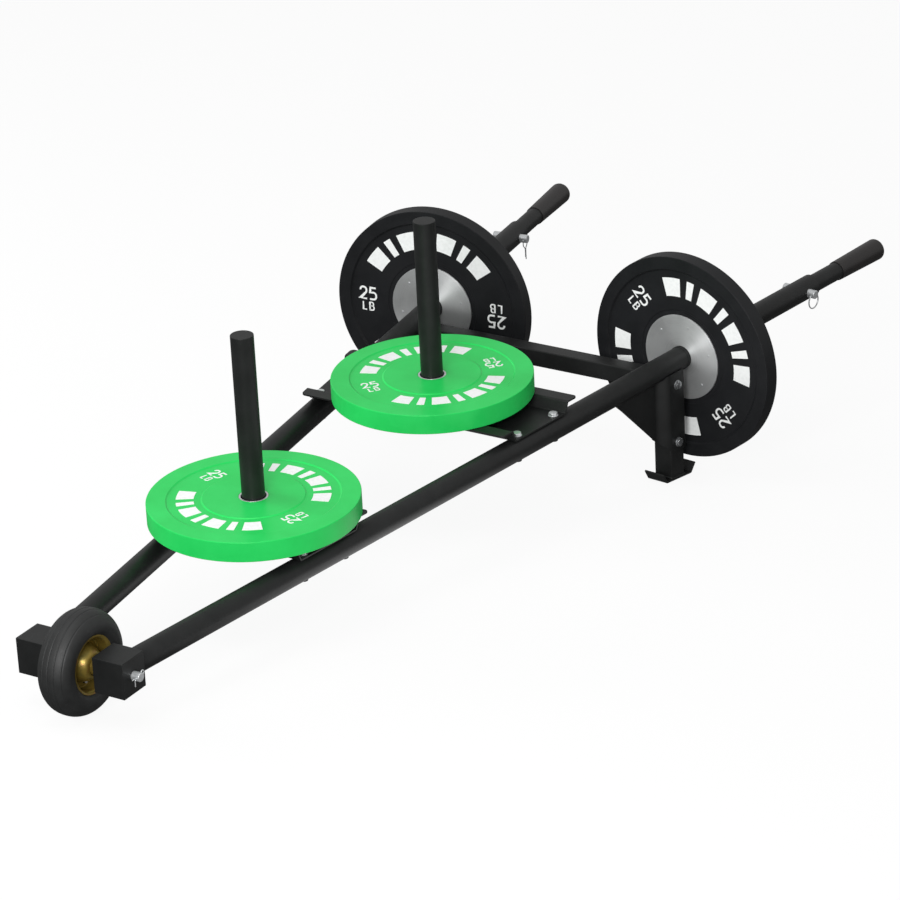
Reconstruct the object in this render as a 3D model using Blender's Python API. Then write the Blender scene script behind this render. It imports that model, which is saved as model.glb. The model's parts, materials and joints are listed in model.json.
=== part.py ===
"""Plate-loaded wheelbarrow for conditioning work.

World frame in metres: X across, Y backwards from the wheel to the grips, Z up. The origin is on the
ground at the centre of the footprint. The machine stands on its wheel and two feet.

The chassis frame starts at the axle and is tilted, because the two long rails climb to the back.
Each rail has its own frame: Y runs along the tube, Z is square to the chassis, and X is lateral.
"""

from math import acos, atan2, cos, hypot, pi, radians, sin, tan

import bmesh
import bpy
from mathutils import Vector

# Clearances
SEAT_GAP = 0.0003
BORE_GAP = 0.0003

# Wheel
TYRE_RADIUS = 0.103
TYRE_HALF_WIDTH = 0.036
TYRE_SHOULDER = 0.0276
TYRE_SIDEWALL_RADIUS = 0.0585
TYRE_FLANK_INSET = 0.0004
TREAD_ANGLES = (0.0, 0.45, 0.85)
TREAD_GROOVE_DEPTH = 0.0022
TREAD_GROOVE_WIDTH = 0.0020
TREAD_GROOVE_SPACING = 0.0125
RIM_SEAT_RADIUS = 0.0525
RIM_HALF_WIDTH = 0.0290
RIM_FLANGE_HEIGHT = 0.0040
RIM_SHEET = 0.0024
RIM_DOME_RADIUS = 0.0385
RIM_DOME_TOP = 0.0340
HUB_RADIUS = 0.0180
HUB_HALF_LENGTH = 0.0500
BEARING_RADIUS = 0.0145
BEARING_WIDTH = 0.0120
AXLE_RADIUS = 0.0090
AXLE_STICK_OUT = 0.0167
AXLE_CHAMFER = 0.0010

# Axle blocks
BLOCK_INNER_X = 0.0532
BLOCK_WIDTH = 0.0681
BLOCK_DEPTH = 0.0670
BLOCK_HEIGHT = 0.0727
BLOCK_WALL = 0.0050

# Split pins
SPLIT_PIN_RADIUS = 0.0016
SPLIT_PIN_EYE_RADIUS = 0.0038
SPLIT_PIN_TAIL = 0.0060
SPLIT_PIN_TURN = radians(78.0)

# Rails: one straight tube each, from its axle block to the end of the plate sleeve
RAIL_SPLAY = radians(7.65)
RAIL_X_AT_AXLE = 0.0826
RAIL_RADIUS = 0.0245
RAIL_WALL = 0.0042
RAIL_END = 2.203

# Plate posts and their crossmembers
POST_Y_FRONT = 0.5752
POST_Y_REAR = 1.2255
POST_RADIUS = 0.0230
POST_WALL = 0.0030
POST_HEIGHT = 0.4040
HAT_SHEET = 0.0035
HAT_HEIGHT = 0.0273
HAT_BEFORE_POST = 0.0040
HAT_BASE_WIDTH = 0.1580
HAT_TOP_WIDTH = 0.1748
HAT_LIP = 0.0295
HAT_OVERHANG = 0.0142
HAT_CORNER = 0.0100

# Bolts, each with its nut as one piece
BOLT_RADIUS = 0.0050
BOLT_HEAD_FLATS = 0.0170
BOLT_HEAD_HEIGHT = 0.0060
NUT_HEIGHT = 0.0036
BOLT_OFFSET = 0.0586
BOLT_TAIL = 0.0005

# Side plates and the collars that they stop against
PLATE_BEHIND_LEG = 0.0488
PLATE_GROUND_CLEARANCE = 0.0371
STOP_COLLAR_LENGTH = 0.0060
STOP_COLLAR_WALL = 0.0015
SIDE_PLATE_RADIUS = 0.2250
SIDE_PLATE_THICKNESS = 0.0351
SIDE_PLATE_RIM_RADIUS = 0.1980
SIDE_PLATE_RECESS = 0.0035
SIDE_PLATE_EDGE = 0.0030
DISC_RADIUS = 0.0944
DISC_RECESS = 0.0022
DIMPLE_CIRCLE_RADIUS = 0.0730
DIMPLE_RADIUS = 0.0035
DIMPLE_DEPTH = 0.0015
DIMPLE_COUNT = 6
DIMPLE_TURN = radians(15.0)
PLATE_BORE_RADIUS = 0.0253

# Post plates
POST_PLATE_RADIUS = 0.2098
POST_PLATE_THICKNESS = 0.0416
POST_PLATE_EDGE = 0.0040
POST_PLATE_RING_OUTER = 0.1690
POST_PLATE_RING_INNER = 0.1030
POST_PLATE_RECESS = 0.0020
BORE_RING_WALL = 0.0038

# Legs, their brackets and feet
LEG_S = 1.6770
LEG_SIZE = 0.0450
LEG_WALL = 0.0030
BRACKET_SHEET = 0.0035
BRACKET_REACH = 0.1836
BRACKET_BEND_LENGTH = 0.0270
BRACKET_HEIGHT = 0.1655
CHEEK_TOP_Z = -0.0100
CHEEK_RAMP = 0.0080
LEG_BOLT_FORWARD = 0.0020
LEG_BOLT_INSET_TOP = 0.0132
LEG_BOLT_INSET_LOW = 0.0203
FOOT_LENGTH = 0.0880
FOOT_WIDTH = 0.0500
FOOT_SHEET = 0.0040
FOOT_LIP = 0.0250
FOOT_LIP_LEAN = radians(33.5)

# Crosstube between the legs
CROSSTUBE_BEHIND_LEG = 0.0049
CROSSTUBE_SIZE = 0.0380
CROSSTUBE_WALL = 0.0030
CROSSTUBE_TOP_Z = -0.0200
INNER_GUSSET_REACH = 0.1090
INNER_GUSSET_SHEET = 0.0050

# Handles
HANDLE_RADIUS = 0.0198
HANDLE_WALL = 0.0030
HANDLE_INSERTION = 0.1530
HANDLE_REACH = 0.2550
GRIP_LENGTH = 0.1590
GRIP_START_RADIUS = 0.0217
GRIP_END_RADIUS = 0.0245
GRIP_CAP = 0.0050
GRIP_EDGE = 0.0080

# Hitch pins with pull rings and clips
HITCH_FROM_RAIL_END = 0.0400
HITCH_PIN_RADIUS = 0.0095
HITCH_PIN_STICK_OUT = 0.0175
HITCH_PIN_CHAMFER = 0.0015
CROSS_HOLE_INSET = 0.0070
PULL_RING_RADIUS = 0.0170
PULL_RING_WIRE = 0.0014
CLIP_WIRE = 0.0011
CLIP_CORNER = 0.0025
CLIP_HALF_WIDTH = 0.0115
CLIP_LOOP_SIDE = 0.0110
CLIP_LOOP_LENGTH = 0.0260
CLIP_SHORT_LEG = 0.0180
CLIP_LENGTH = 0.0500

# Facets round a full turn
WIDE_SIDES = 40
TUBE_SIDES = 24
SMALL_SIDES = 20
HOLE_SIDES = 12
WIRE_SIDES = 6
HEX = 6
ARC_STEPS = 3
FAR = 4.0

# Places that follow from the sizes above
RAIL_INNER_RADIUS = RAIL_RADIUS - RAIL_WALL
BLOCK_CENTRE_X = BLOCK_INNER_X + BLOCK_WIDTH / 2
BLOCK_OUTER_X = BLOCK_INNER_X + BLOCK_WIDTH
AXLE_HALF_LENGTH = BLOCK_OUTER_X + AXLE_STICK_OUT
SPLIT_PIN_X = BLOCK_OUTER_X + AXLE_STICK_OUT / 2
HAT_BASE_Z = RAIL_RADIUS + SEAT_GAP
HAT_BASE_Y = HAT_BASE_WIDTH / 2
HAT_TOP_Y = HAT_TOP_WIDTH / 2
HAT_WALL_SLOPE = (HAT_TOP_Y - HAT_BASE_Y) / (HAT_HEIGHT - HAT_SHEET)
HAT_WALL_ACROSS = HAT_SHEET * hypot(1, HAT_WALL_SLOPE)
HAT_LIP_Y = HAT_TOP_Y + HAT_WALL_ACROSS + HAT_LIP
POST_PLATE_Z = HAT_BASE_Z + HAT_HEIGHT + SEAT_GAP
RING_OUTER_RADIUS = PLATE_BORE_RADIUS + BORE_RING_WALL
LEG_HALF = LEG_SIZE / 2
BRACKET_INNER_FACE = LEG_HALF + SEAT_GAP
BRACKET_OUTER_FACE = BRACKET_INNER_FACE + BRACKET_SHEET
BRACKET_FRONT_S = LEG_S - BRACKET_REACH
LEG_TOP_Z = -RAIL_RADIUS - SEAT_GAP
BRACKET_LOW_Z = LEG_TOP_Z - BRACKET_HEIGHT
LEG_BOLT_S = LEG_S - LEG_BOLT_FORWARD
LEG_BOLT_TOP_Z = LEG_TOP_Z - LEG_BOLT_INSET_TOP
LEG_BOLT_LOW_Z = BRACKET_LOW_Z + LEG_BOLT_INSET_LOW
LEG_Y = LEG_S * cos(RAIL_SPLAY)
CROSSTUBE_Y = LEG_Y + CROSSTUBE_BEHIND_LEG
SIDE_PLATE_S = LEG_S + PLATE_BEHIND_LEG
GRIP_END = RAIL_END + HANDLE_REACH
GRIP_START = GRIP_END - GRIP_LENGTH
HITCH_S = RAIL_END - HITCH_FROM_RAIL_END
HITCH_PIN_HALF = RAIL_RADIUS + HITCH_PIN_STICK_OUT
CROSS_HOLE_X = HITCH_PIN_HALF - CROSS_HOLE_INSET

# The legs hold the side plates clear of the ground, and that tilts the chassis about the axle
PLATE_DEPTH = SIDE_PLATE_RADIUS + PLATE_GROUND_CLEARANCE
PLATE_Y = SIDE_PLATE_S * cos(RAIL_SPLAY)
CHASSIS_TILT = acos(TYRE_RADIUS / hypot(PLATE_DEPTH, PLATE_Y)) - atan2(PLATE_Y, PLATE_DEPTH)
ROUGH_LOW_Z = -2 * PLATE_DEPTH

AXIS_ALONG_X = (0, pi / 2, 0)
AXIS_ALONG_Y = (-pi / 2, 0, 0)
SIDES = {"left": -1, "right": 1}


def clear_scene():
    for obj in list(bpy.data.objects):
        bpy.data.objects.remove(obj)


def finish(name, colour, roughness, metallic=0.0):
    """A Principled material with a display colour that matches it."""
    material = bpy.data.materials.new(name)
    material.use_nodes = True
    shader = material.node_tree.nodes["Principled BSDF"]
    shader.inputs["Base Color"].default_value = (*colour, 1)
    shader.inputs["Roughness"].default_value = roughness
    shader.inputs["Metallic"].default_value = metallic
    material.diffuse_color = (*colour, 1)
    return material


def empty(name, parent=None, location=(0, 0, 0), rotation=(0, 0, 0)):
    frame = bpy.data.objects.new(name, None)
    bpy.context.scene.collection.objects.link(frame)
    frame.parent = parent
    frame.location = location
    frame.rotation_euler = rotation
    return frame


def add(name, data, material, parent, location=(0, 0, 0), rotation=(0, 0, 0)):
    """Links an object that holds data, and gives it its place under parent."""
    obj = bpy.data.objects.new(name, data)
    bpy.context.scene.collection.objects.link(obj)
    obj.parent = parent
    obj.location = location
    obj.rotation_euler = rotation
    if material:
        data.materials.append(material)
    return obj


def turned(name, profile, material, parent, location=(0, 0, 0), rotation=(0, 0, 0), sides=TUBE_SIDES):
    """Turns a profile of (radius, height) points about local Z.

    The points run down the outer side. A profile that starts and ends on the axis stays an open
    chain, and any other is closed into a ring.
    """
    points = [(radius, 0.0, height) for radius, height in profile]
    edges = [(i, i + 1) for i in range(len(points) - 1)]
    if profile[0][0] > 0:
        edges.append((len(points) - 1, 0))
    mesh = bpy.data.meshes.new(name)
    mesh.from_pydata(points, edges, [])
    obj = add(name, mesh, material, parent, location, rotation)
    screw = obj.modifiers.new("turn", "SCREW")
    screw.axis = "Z"
    screw.steps = sides
    screw.render_steps = sides
    screw.use_merge_vertices = True
    screw.merge_threshold = 0.00001
    screw.use_smooth_shade = True
    return obj


def tube_profile(outer, inner, low, high):
    return [(outer, high), (outer, low), (inner, low), (inner, high)]


def rod_profile(radius, low, high, chamfer=0.0):
    if not chamfer:
        return [(0.0, high), (radius, high), (radius, low), (0.0, low)]
    return [
        (0.0, high),
        (radius - chamfer, high),
        (radius, high - chamfer),
        (radius, low + chamfer),
        (radius - chamfer, low),
        (0.0, low),
    ]


def prism(name, outline, low, high, material, parent, location=(0, 0, 0), rotation=(0, 0, 0)):
    """A flat outline of (x, y) points, extruded along local Z from low to high."""
    bm = bmesh.new()
    base = [bm.verts.new((x, y, low)) for x, y in outline]
    face = bm.faces.new(base)
    grown = bmesh.ops.extrude_face_region(bm, geom=[face])["geom"]
    moved = [item for item in grown if isinstance(item, bmesh.types.BMVert)]
    bmesh.ops.translate(bm, verts=moved, vec=(0, 0, high - low))
    bmesh.ops.recalc_face_normals(bm, faces=bm.faces)
    mesh = bpy.data.meshes.new(name)
    bm.to_mesh(mesh)
    bm.free()
    return add(name, mesh, material, parent, location, rotation)


def box(name, low, high, material, parent):
    """A box between two corners in the parent's frame."""
    outline = [(low[0], low[1]), (high[0], low[1]), (high[0], high[1]), (low[0], high[1])]
    return prism(name, outline, low[2], high[2], material, parent)


def shape_with(target, cutter, operation="DIFFERENCE"):
    """Applies a hidden cutter to the target with an exact Boolean."""
    cutter.hide_render = True
    cutter.display_type = "WIRE"
    modifier = target.modifiers.new(operation.lower(), "BOOLEAN")
    modifier.operation = operation
    modifier.solver = "EXACT"
    modifier.object = cutter


def drill(target, parent, location, rotation, radius, half_length, sides=HOLE_SIDES):
    """Cuts a hole centred at a location in the parent's frame. Its flats clear the given radius."""
    corner_radius = radius / cos(pi / sides)
    profile = rod_profile(corner_radius, -half_length, half_length)
    cutter = turned(target.name + "_drill", profile, None, parent, location, rotation, sides)
    shape_with(target, cutter)


def arc(centre, radius, start, end, steps=ARC_STEPS):
    """Points on a round stretch, from one angle to another."""
    angles = [start + (end - start) * i / steps for i in range(steps + 1)]
    return [(centre[0] + radius * cos(a), centre[1] + radius * sin(a)) for a in angles]


def rounded(outline, radius, steps=ARC_STEPS):
    """The outline with each corner replaced by a smooth curve that meets both edges flush."""
    result = []
    for i, corner in enumerate(outline):
        here = Vector(corner)
        back = (Vector(outline[i - 1]) - here).normalized()
        ahead = (Vector(outline[(i + 1) % len(outline)]) - here).normalized()
        half = acos(max(-1.0, min(1.0, back.dot(ahead)))) / 2
        reach = radius / tan(half)
        start = here + back * reach
        end = here + ahead * reach
        for step in range(steps + 1):
            t = step / steps
            curve = start * (1 - t) ** 2 + here * 2 * t * (1 - t) + end * t**2
            result.append((curve.x, curve.y))
    return result


def mirrored(profile):
    """A ring profile given for its upper half, with the lower half added below it."""
    return profile + [(radius, -height) for radius, height in reversed(profile)]


def rail_x(y):
    """Distance of the rail axis from the middle of the chassis at a distance behind the axle."""
    return RAIL_X_AT_AXLE + y * tan(RAIL_SPLAY)


def wire(name, points, radius, material, parent, location, cyclic=False):
    """A round wire along points, as a curve with a bevel and filled ends."""
    curve = bpy.data.curves.new(name, "CURVE")
    curve.dimensions = "3D"
    spline = curve.splines.new("POLY")
    spline.points.add(len(points) - 1)
    for slot, point in zip(spline.points, points):
        slot.co = (*point, 1)
    spline.use_cyclic_u = cyclic
    curve.bevel_depth = radius
    curve.bevel_resolution = 2
    curve.use_fill_caps = True
    return add(name, curve, material, parent, location)


def tyre_profile():
    """The ribbed outline of the tyre, run over the tread and back along the bead seat."""
    flat = TYRE_HALF_WIDTH - TYRE_SHOULDER
    shoulder_r = TYRE_RADIUS - TYRE_SHOULDER
    groove = TREAD_GROOVE_WIDTH / 2
    seat = RIM_SEAT_RADIUS + SEAT_GAP
    flank = RIM_HALF_WIDTH - RIM_SHEET - 2 * SEAT_GAP

    def crown(x):
        """Radius of the tread at a distance from the middle."""
        over = max(0.0, abs(x) - flat)
        return shoulder_r + (TYRE_SHOULDER**2 - over**2) ** 0.5

    half = [(TYRE_SIDEWALL_RADIUS, RIM_HALF_WIDTH)]
    half.append(((TYRE_SIDEWALL_RADIUS + shoulder_r) / 2, TYRE_HALF_WIDTH - TYRE_FLANK_INSET))
    half += [(shoulder_r + TYRE_SHOULDER * sin(a), flat + TYRE_SHOULDER * cos(a)) for a in TREAD_ANGLES]
    x = TREAD_GROOVE_SPACING
    half += [
        (crown(x + groove), x + groove),
        (crown(x) - TREAD_GROOVE_DEPTH, x),
        (crown(x - groove), x - groove),
        (crown(groove), groove),
    ]
    outer = half + [(crown(0) - TREAD_GROOVE_DEPTH, 0.0)] + [(r, -h) for r, h in reversed(half)]
    flare = (seat + RIM_FLANGE_HEIGHT + SEAT_GAP, RIM_HALF_WIDTH - RIM_SHEET / 2)
    inner = [(flare[0], -flare[1]), (seat, -flank), (seat, flank), flare]
    return outer + inner


def rim_profile():
    """One pressed rim half: flange, barrel, flat web and a domed middle that meets the hub."""
    flange = RIM_SEAT_RADIUS + RIM_FLANGE_HEIGHT
    inner = RIM_SEAT_RADIUS - RIM_SHEET
    web = SEAT_GAP / 2
    bore = HUB_RADIUS + SEAT_GAP
    dome_rise = RIM_DOME_TOP - web - RIM_SHEET
    angles = [pi / 2 * i / ARC_STEPS for i in range(ARC_STEPS + 1)]
    span = RIM_DOME_RADIUS - bore
    over = [(bore + span * cos(a), web + RIM_SHEET + dome_rise * sin(a)) for a in reversed(angles)]
    under = [(bore + (span - RIM_SHEET) * cos(a), web + dome_rise * sin(a)) for a in angles]
    return (
        [
            (flange, RIM_HALF_WIDTH),
            (flange - SEAT_GAP, RIM_HALF_WIDTH - RIM_SHEET / 2 + SEAT_GAP),
            (RIM_SEAT_RADIUS, RIM_HALF_WIDTH - RIM_SHEET - SEAT_GAP),
            (RIM_SEAT_RADIUS, web),
        ]
        + under
        + over
        + [(inner, web + RIM_SHEET), (inner, RIM_HALF_WIDTH - RIM_SHEET), (flange - RIM_SHEET, RIM_HALF_WIDTH)]
    )


def make_wheel(chassis, looks):
    """Tyre, rim halves, hub and bearings. They turn together about the axle."""
    spin = empty("wheel_spin_axis", chassis, rotation=AXIS_ALONG_X)
    turned("tyre", tyre_profile(), looks["tyre"], spin, sides=WIDE_SIDES)
    turned("rim_right", rim_profile(), looks["zinc_gold"], spin, sides=WIDE_SIDES)
    turned("rim_left", rim_profile(), looks["zinc_gold"], spin, rotation=(pi, 0, 0), sides=WIDE_SIDES)
    bearing_seat = HUB_HALF_LENGTH - BEARING_WIDTH
    bearing_bore = BEARING_RADIUS + SEAT_GAP
    core_bore = AXLE_RADIUS + 3 * BORE_GAP
    hub_half = [
        (HUB_RADIUS, HUB_HALF_LENGTH),
        (HUB_RADIUS, -HUB_HALF_LENGTH),
        (bearing_bore, -HUB_HALF_LENGTH),
        (bearing_bore, -bearing_seat),
        (core_bore, -bearing_seat),
        (core_bore, bearing_seat),
        (bearing_bore, bearing_seat),
        (bearing_bore, HUB_HALF_LENGTH),
    ]
    turned("hub", hub_half, looks["zinc_gold"], spin, sides=SMALL_SIDES)
    outer_end = BLOCK_INNER_X - SEAT_GAP
    for side, sign in SIDES.items():
        race = tube_profile(BEARING_RADIUS, AXLE_RADIUS + BORE_GAP, bearing_seat + SEAT_GAP, outer_end)
        turn = (0, 0, 0) if sign > 0 else (pi, 0, 0)
        turned("bearing_" + side, race, looks["zinc"], spin, rotation=turn, sides=SMALL_SIDES)


def make_axle(chassis, looks):
    """The fixed axle rod and the split pins that keep it in the blocks."""
    rod = rod_profile(AXLE_RADIUS, -AXLE_HALF_LENGTH, AXLE_HALF_LENGTH, AXLE_CHAMFER)
    axle = turned("axle", rod, looks["zinc"], chassis, rotation=AXIS_ALONG_X, sides=SMALL_SIDES)
    eye_z = AXLE_RADIUS + SPLIT_PIN_EYE_RADIUS + SPLIT_PIN_RADIUS + SEAT_GAP
    low = -AXLE_RADIUS - SPLIT_PIN_TAIL
    for side, sign in SIDES.items():
        place = (sign * SPLIT_PIN_X, 0, 0)
        frame = empty("split_pin_frame_" + side, chassis, place, (-SPLIT_PIN_TURN, 0, 0))
        drill(axle, frame, (0, 0, 0), (0, 0, 0), SPLIT_PIN_RADIUS + BORE_GAP, 2 * AXLE_RADIUS)
        stem = rod_profile(SPLIT_PIN_RADIUS, low, AXLE_RADIUS + 2 * SPLIT_PIN_RADIUS)
        pin = turned("split_pin_" + side, stem, looks["zinc"], frame, sides=HOLE_SIDES)
        loop = [
            (SPLIT_PIN_EYE_RADIUS + SPLIT_PIN_RADIUS * cos(a), SPLIT_PIN_RADIUS * sin(a))
            for a in (-2 * pi * i / WIRE_SIDES for i in range(WIRE_SIDES))
        ]
        eye = turned(
            "split_pin_eye_" + side,
            loop,
            None,
            frame,
            (0, 0, eye_z),
            AXIS_ALONG_X,
            HOLE_SIDES,
        )
        shape_with(pin, eye, "UNION")


def make_blocks(chassis, looks):
    """Closed square boxes that carry the axle, with a bore through both side walls."""
    for side, sign in SIDES.items():
        low_x = sign * BLOCK_CENTRE_X - BLOCK_WIDTH / 2
        low = Vector((low_x, -BLOCK_DEPTH / 2, -BLOCK_HEIGHT / 2))
        high = Vector((low_x + BLOCK_WIDTH, BLOCK_DEPTH / 2, BLOCK_HEIGHT / 2))
        wall = Vector((BLOCK_WALL, BLOCK_WALL, BLOCK_WALL))
        block = box("axle_block_" + side, low, high, looks["black"], chassis)
        hollow = box("block_hollow_" + side, low + wall, high - wall, None, chassis)
        shape_with(block, hollow)
        middle = (sign * BLOCK_CENTRE_X, 0, 0)
        drill(block, chassis, middle, AXIS_ALONG_X, AXLE_RADIUS + BORE_GAP, BLOCK_WIDTH)


def make_rails(chassis, rails, looks):
    """The long tubes, mitred to the blocks and drilled for bolts and hitch pins."""
    front = box(
        "block_back_plane",
        (-FAR, -FAR, -FAR),
        (FAR, BLOCK_DEPTH / 2 + SEAT_GAP, FAR),
        None,
        chassis,
    )
    made = {}
    for side, frame in rails.items():
        pipe = tube_profile(RAIL_RADIUS, RAIL_INNER_RADIUS, 0.0, RAIL_END)
        rail = turned("rail_" + side, pipe, looks["black"], frame, rotation=AXIS_ALONG_Y)
        shape_with(rail, front)
        hole = HITCH_PIN_RADIUS + BORE_GAP
        drill(rail, frame, (0, HITCH_S, 0), AXIS_ALONG_X, hole, 2 * RAIL_RADIUS)
        made[side] = rail
    return made


def make_stop_collars(rails, looks):
    inner = RAIL_RADIUS + SEAT_GAP
    ring = tube_profile(inner + STOP_COLLAR_WALL, inner, -STOP_COLLAR_LENGTH, 0.0)
    place = (0, SIDE_PLATE_S - SEAT_GAP, 0)
    for side, frame in rails.items():
        turned("stop_collar_" + side, ring, looks["black"], frame, place, AXIS_ALONG_Y)


def hat_outline():
    """Section of a crossmember: base, two leaning walls and two lips, as (y, z) points."""
    under = HAT_HEIGHT - HAT_SHEET
    low = HAT_BASE_Y + HAT_WALL_ACROSS - HAT_SHEET * HAT_WALL_SLOPE
    half = [(low, 0.0), (low + under * HAT_WALL_SLOPE, under), (HAT_LIP_Y, under)]
    half += [(HAT_LIP_Y, HAT_HEIGHT), (HAT_TOP_Y, HAT_HEIGHT), (HAT_BASE_Y, HAT_SHEET)]
    return half + [(-y, z) for y, z in reversed(half)]


def make_crossmember(name, y, chassis, looks):
    """A hat-section sheet across both rails, its ends cut parallel to them."""
    level = empty(name + "_frame", chassis, (0, y, HAT_BASE_Z))
    reach = rail_x(y) + HAT_OVERHANG + HAT_LIP_Y
    hat = prism(name, hat_outline(), -reach, reach, looks["black"], level)
    hat.rotation_euler = (pi / 2, 0, pi / 2)
    front = rail_x(y - HAT_LIP_Y) + HAT_OVERHANG / cos(RAIL_SPLAY)
    back = rail_x(y + HAT_LIP_Y) + HAT_OVERHANG / cos(RAIL_SPLAY)
    plan = [(-front, -HAT_LIP_Y), (front, -HAT_LIP_Y), (back, HAT_LIP_Y), (-back, HAT_LIP_Y)]
    trim = prism(name + "_plan", rounded(plan, HAT_CORNER), -HAT_HEIGHT, 2 * HAT_HEIGHT, None, level)
    shape_with(hat, trim, "INTERSECT")
    return hat


def make_post(name, y, chassis, looks):
    """A round post with a closed flat top, standing on the crossmember's base."""
    foot = HAT_BASE_Z + HAT_SHEET + SEAT_GAP
    inner = POST_RADIUS - POST_WALL
    profile = [
        (0.0, POST_HEIGHT),
        (POST_RADIUS, POST_HEIGHT),
        (POST_RADIUS, 0.0),
        (inner, 0.0),
        (inner, POST_HEIGHT - POST_WALL),
        (0.0, POST_HEIGHT - POST_WALL),
    ]
    turned(name, profile, looks["black"], chassis, (0, y, foot))


def hexagon(flats):
    corner = flats / 2 / cos(pi / HEX)
    return [(corner * cos(2 * pi * i / HEX), corner * sin(2 * pi * i / HEX)) for i in range(HEX)]


def make_bolt(name, seat, tail, nut_seat, material, parent, location, rotation=(0, 0, 0)):
    """A hexagon bolt on local Z from its head on seat down to tail, with a nut up against nut_seat."""
    flats = hexagon(BOLT_HEAD_FLATS)
    bolt = prism(name, flats, seat, seat + BOLT_HEAD_HEIGHT, material, parent, location, rotation)
    profile = rod_profile(BOLT_RADIUS, tail, seat + BOLT_HEAD_HEIGHT / 2)
    shank = turned(name + "_shank", profile, None, parent, location, rotation, HOLE_SIDES)
    shape_with(bolt, shank, "UNION")
    if nut_seat is not None:
        low = nut_seat - NUT_HEIGHT
        nut = prism(name + "_nut", flats, low, nut_seat, None, parent, location, rotation)
        shape_with(bolt, nut, "UNION")
    return bolt


def make_crossmember_bolts(name, y, hat, rail_nodes, chassis, looks):
    """Four bolts down through the crossmember's base and the rails; y is the crossmember's middle."""
    hole = BOLT_RADIUS + BORE_GAP
    for side, sign in SIDES.items():
        for place, offset in (("front", -BOLT_OFFSET), ("back", BOLT_OFFSET)):
            spot = (sign * rail_x(y + offset), y + offset, 0)
            seat = HAT_BASE_Z + HAT_SHEET + SEAT_GAP
            nut_seat = -RAIL_RADIUS - SEAT_GAP
            tail = nut_seat - NUT_HEIGHT - BOLT_TAIL
            bolt_name = f"{name}_bolt_{place}_{side}"
            make_bolt(bolt_name, seat, tail, nut_seat, looks["zinc"], chassis, spot)
            drill(hat, chassis, spot, (0, 0, 0), hole, 2 * HAT_BASE_Z)
            drill(rail_nodes[side], chassis, spot, (0, 0, 0), hole, 2 * HAT_BASE_Z)


def bracket_plan():
    """Outline of one joggled plate seen from above, as (lateral, along) points."""
    back = LEG_S + LEG_HALF
    bend_end = LEG_S - LEG_HALF
    bend_start = bend_end - BRACKET_BEND_LENGTH
    inner_face = SEAT_GAP / 2
    steps = 2 * ARC_STEPS
    near = []
    far = []
    for i in range(steps + 1):
        t = i / steps
        ease = (1 - cos(pi * t)) / 2
        slope = pi / 2 * sin(pi * t) * (BRACKET_INNER_FACE - inner_face) / BRACKET_BEND_LENGTH
        thick = BRACKET_SHEET / hypot(1, slope)
        lateral = inner_face + (BRACKET_INNER_FACE - inner_face) * ease
        along = bend_start + BRACKET_BEND_LENGTH * t
        near.append((lateral, along))
        far.append((lateral + thick, along - thick * slope))
    near = [(inner_face, BRACKET_FRONT_S), *near, (BRACKET_INNER_FACE, back)]
    far = [(inner_face + BRACKET_SHEET, BRACKET_FRONT_S), *far, (BRACKET_OUTER_FACE, back)]
    return near + list(reversed(far))


def bracket_side():
    """Side view of a bracket: top under the rail and up beside it, 45 degree front edge, level foot."""
    back = LEG_S + LEG_HALF
    bend_end = LEG_S - LEG_HALF
    slope_end = BRACKET_FRONT_S + BRACKET_HEIGHT
    return [
        (BRACKET_FRONT_S, LEG_TOP_Z),
        (slope_end, BRACKET_LOW_Z),
        (back, BRACKET_LOW_Z),
        (back, CHEEK_TOP_Z),
        (bend_end + CHEEK_RAMP, CHEEK_TOP_Z),
        (bend_end, LEG_TOP_Z),
    ]


def make_leg(side, sign, frame, chassis, ground, looks):
    """A square leg under its rail, its two joggled brackets and the two bolts through them."""
    low = (-LEG_HALF, LEG_S - LEG_HALF, ROUGH_LOW_Z)
    high = (LEG_HALF, LEG_S + LEG_HALF, LEG_TOP_Z)
    wall = Vector((LEG_WALL, LEG_WALL, 0))
    leg = box("leg_" + side, low, high, looks["black"], frame)
    inside_low = Vector(low) + wall - Vector((0, 0, LEG_WALL))
    inside_high = Vector(high) - wall + Vector((0, 0, LEG_WALL))
    shape_with(leg, box("leg_hollow_" + side, inside_low, inside_high, None, frame))
    shape_with(leg, ground)
    brackets = {}
    for place, face in (("outer", sign), ("inner", -sign)):
        plan = [(face * lateral, along) for lateral, along in bracket_plan()]
        name = f"leg_bracket_{place}_{side}"
        plate = prism(name, plan, ROUGH_LOW_Z, CHEEK_TOP_Z, looks["black"], frame)
        outline = prism(
            name + "_outline",
            [(-z, along) for along, z in bracket_side()],
            -LEG_SIZE,
            LEG_SIZE,
            None,
            frame,
            rotation=(0, pi / 2, 0),
        )
        shape_with(plate, outline, "INTERSECT")
        brackets[place] = plate
    for label, z in (("top", LEG_BOLT_TOP_Z), ("low", LEG_BOLT_LOW_Z)):
        spot = (0, LEG_BOLT_S, z)
        name = f"leg_bolt_{label}_{side}"
        turn = (0, sign * pi / 2, 0)
        seat = BRACKET_OUTER_FACE + SEAT_GAP
        make_bolt(name, seat, -BRACKET_OUTER_FACE, None, looks["zinc"], frame, spot, turn)
        for target in (leg, brackets["outer"], brackets["inner"]):
            drill(target, frame, spot, turn, BOLT_RADIUS + BORE_GAP, LEG_SIZE)


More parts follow.
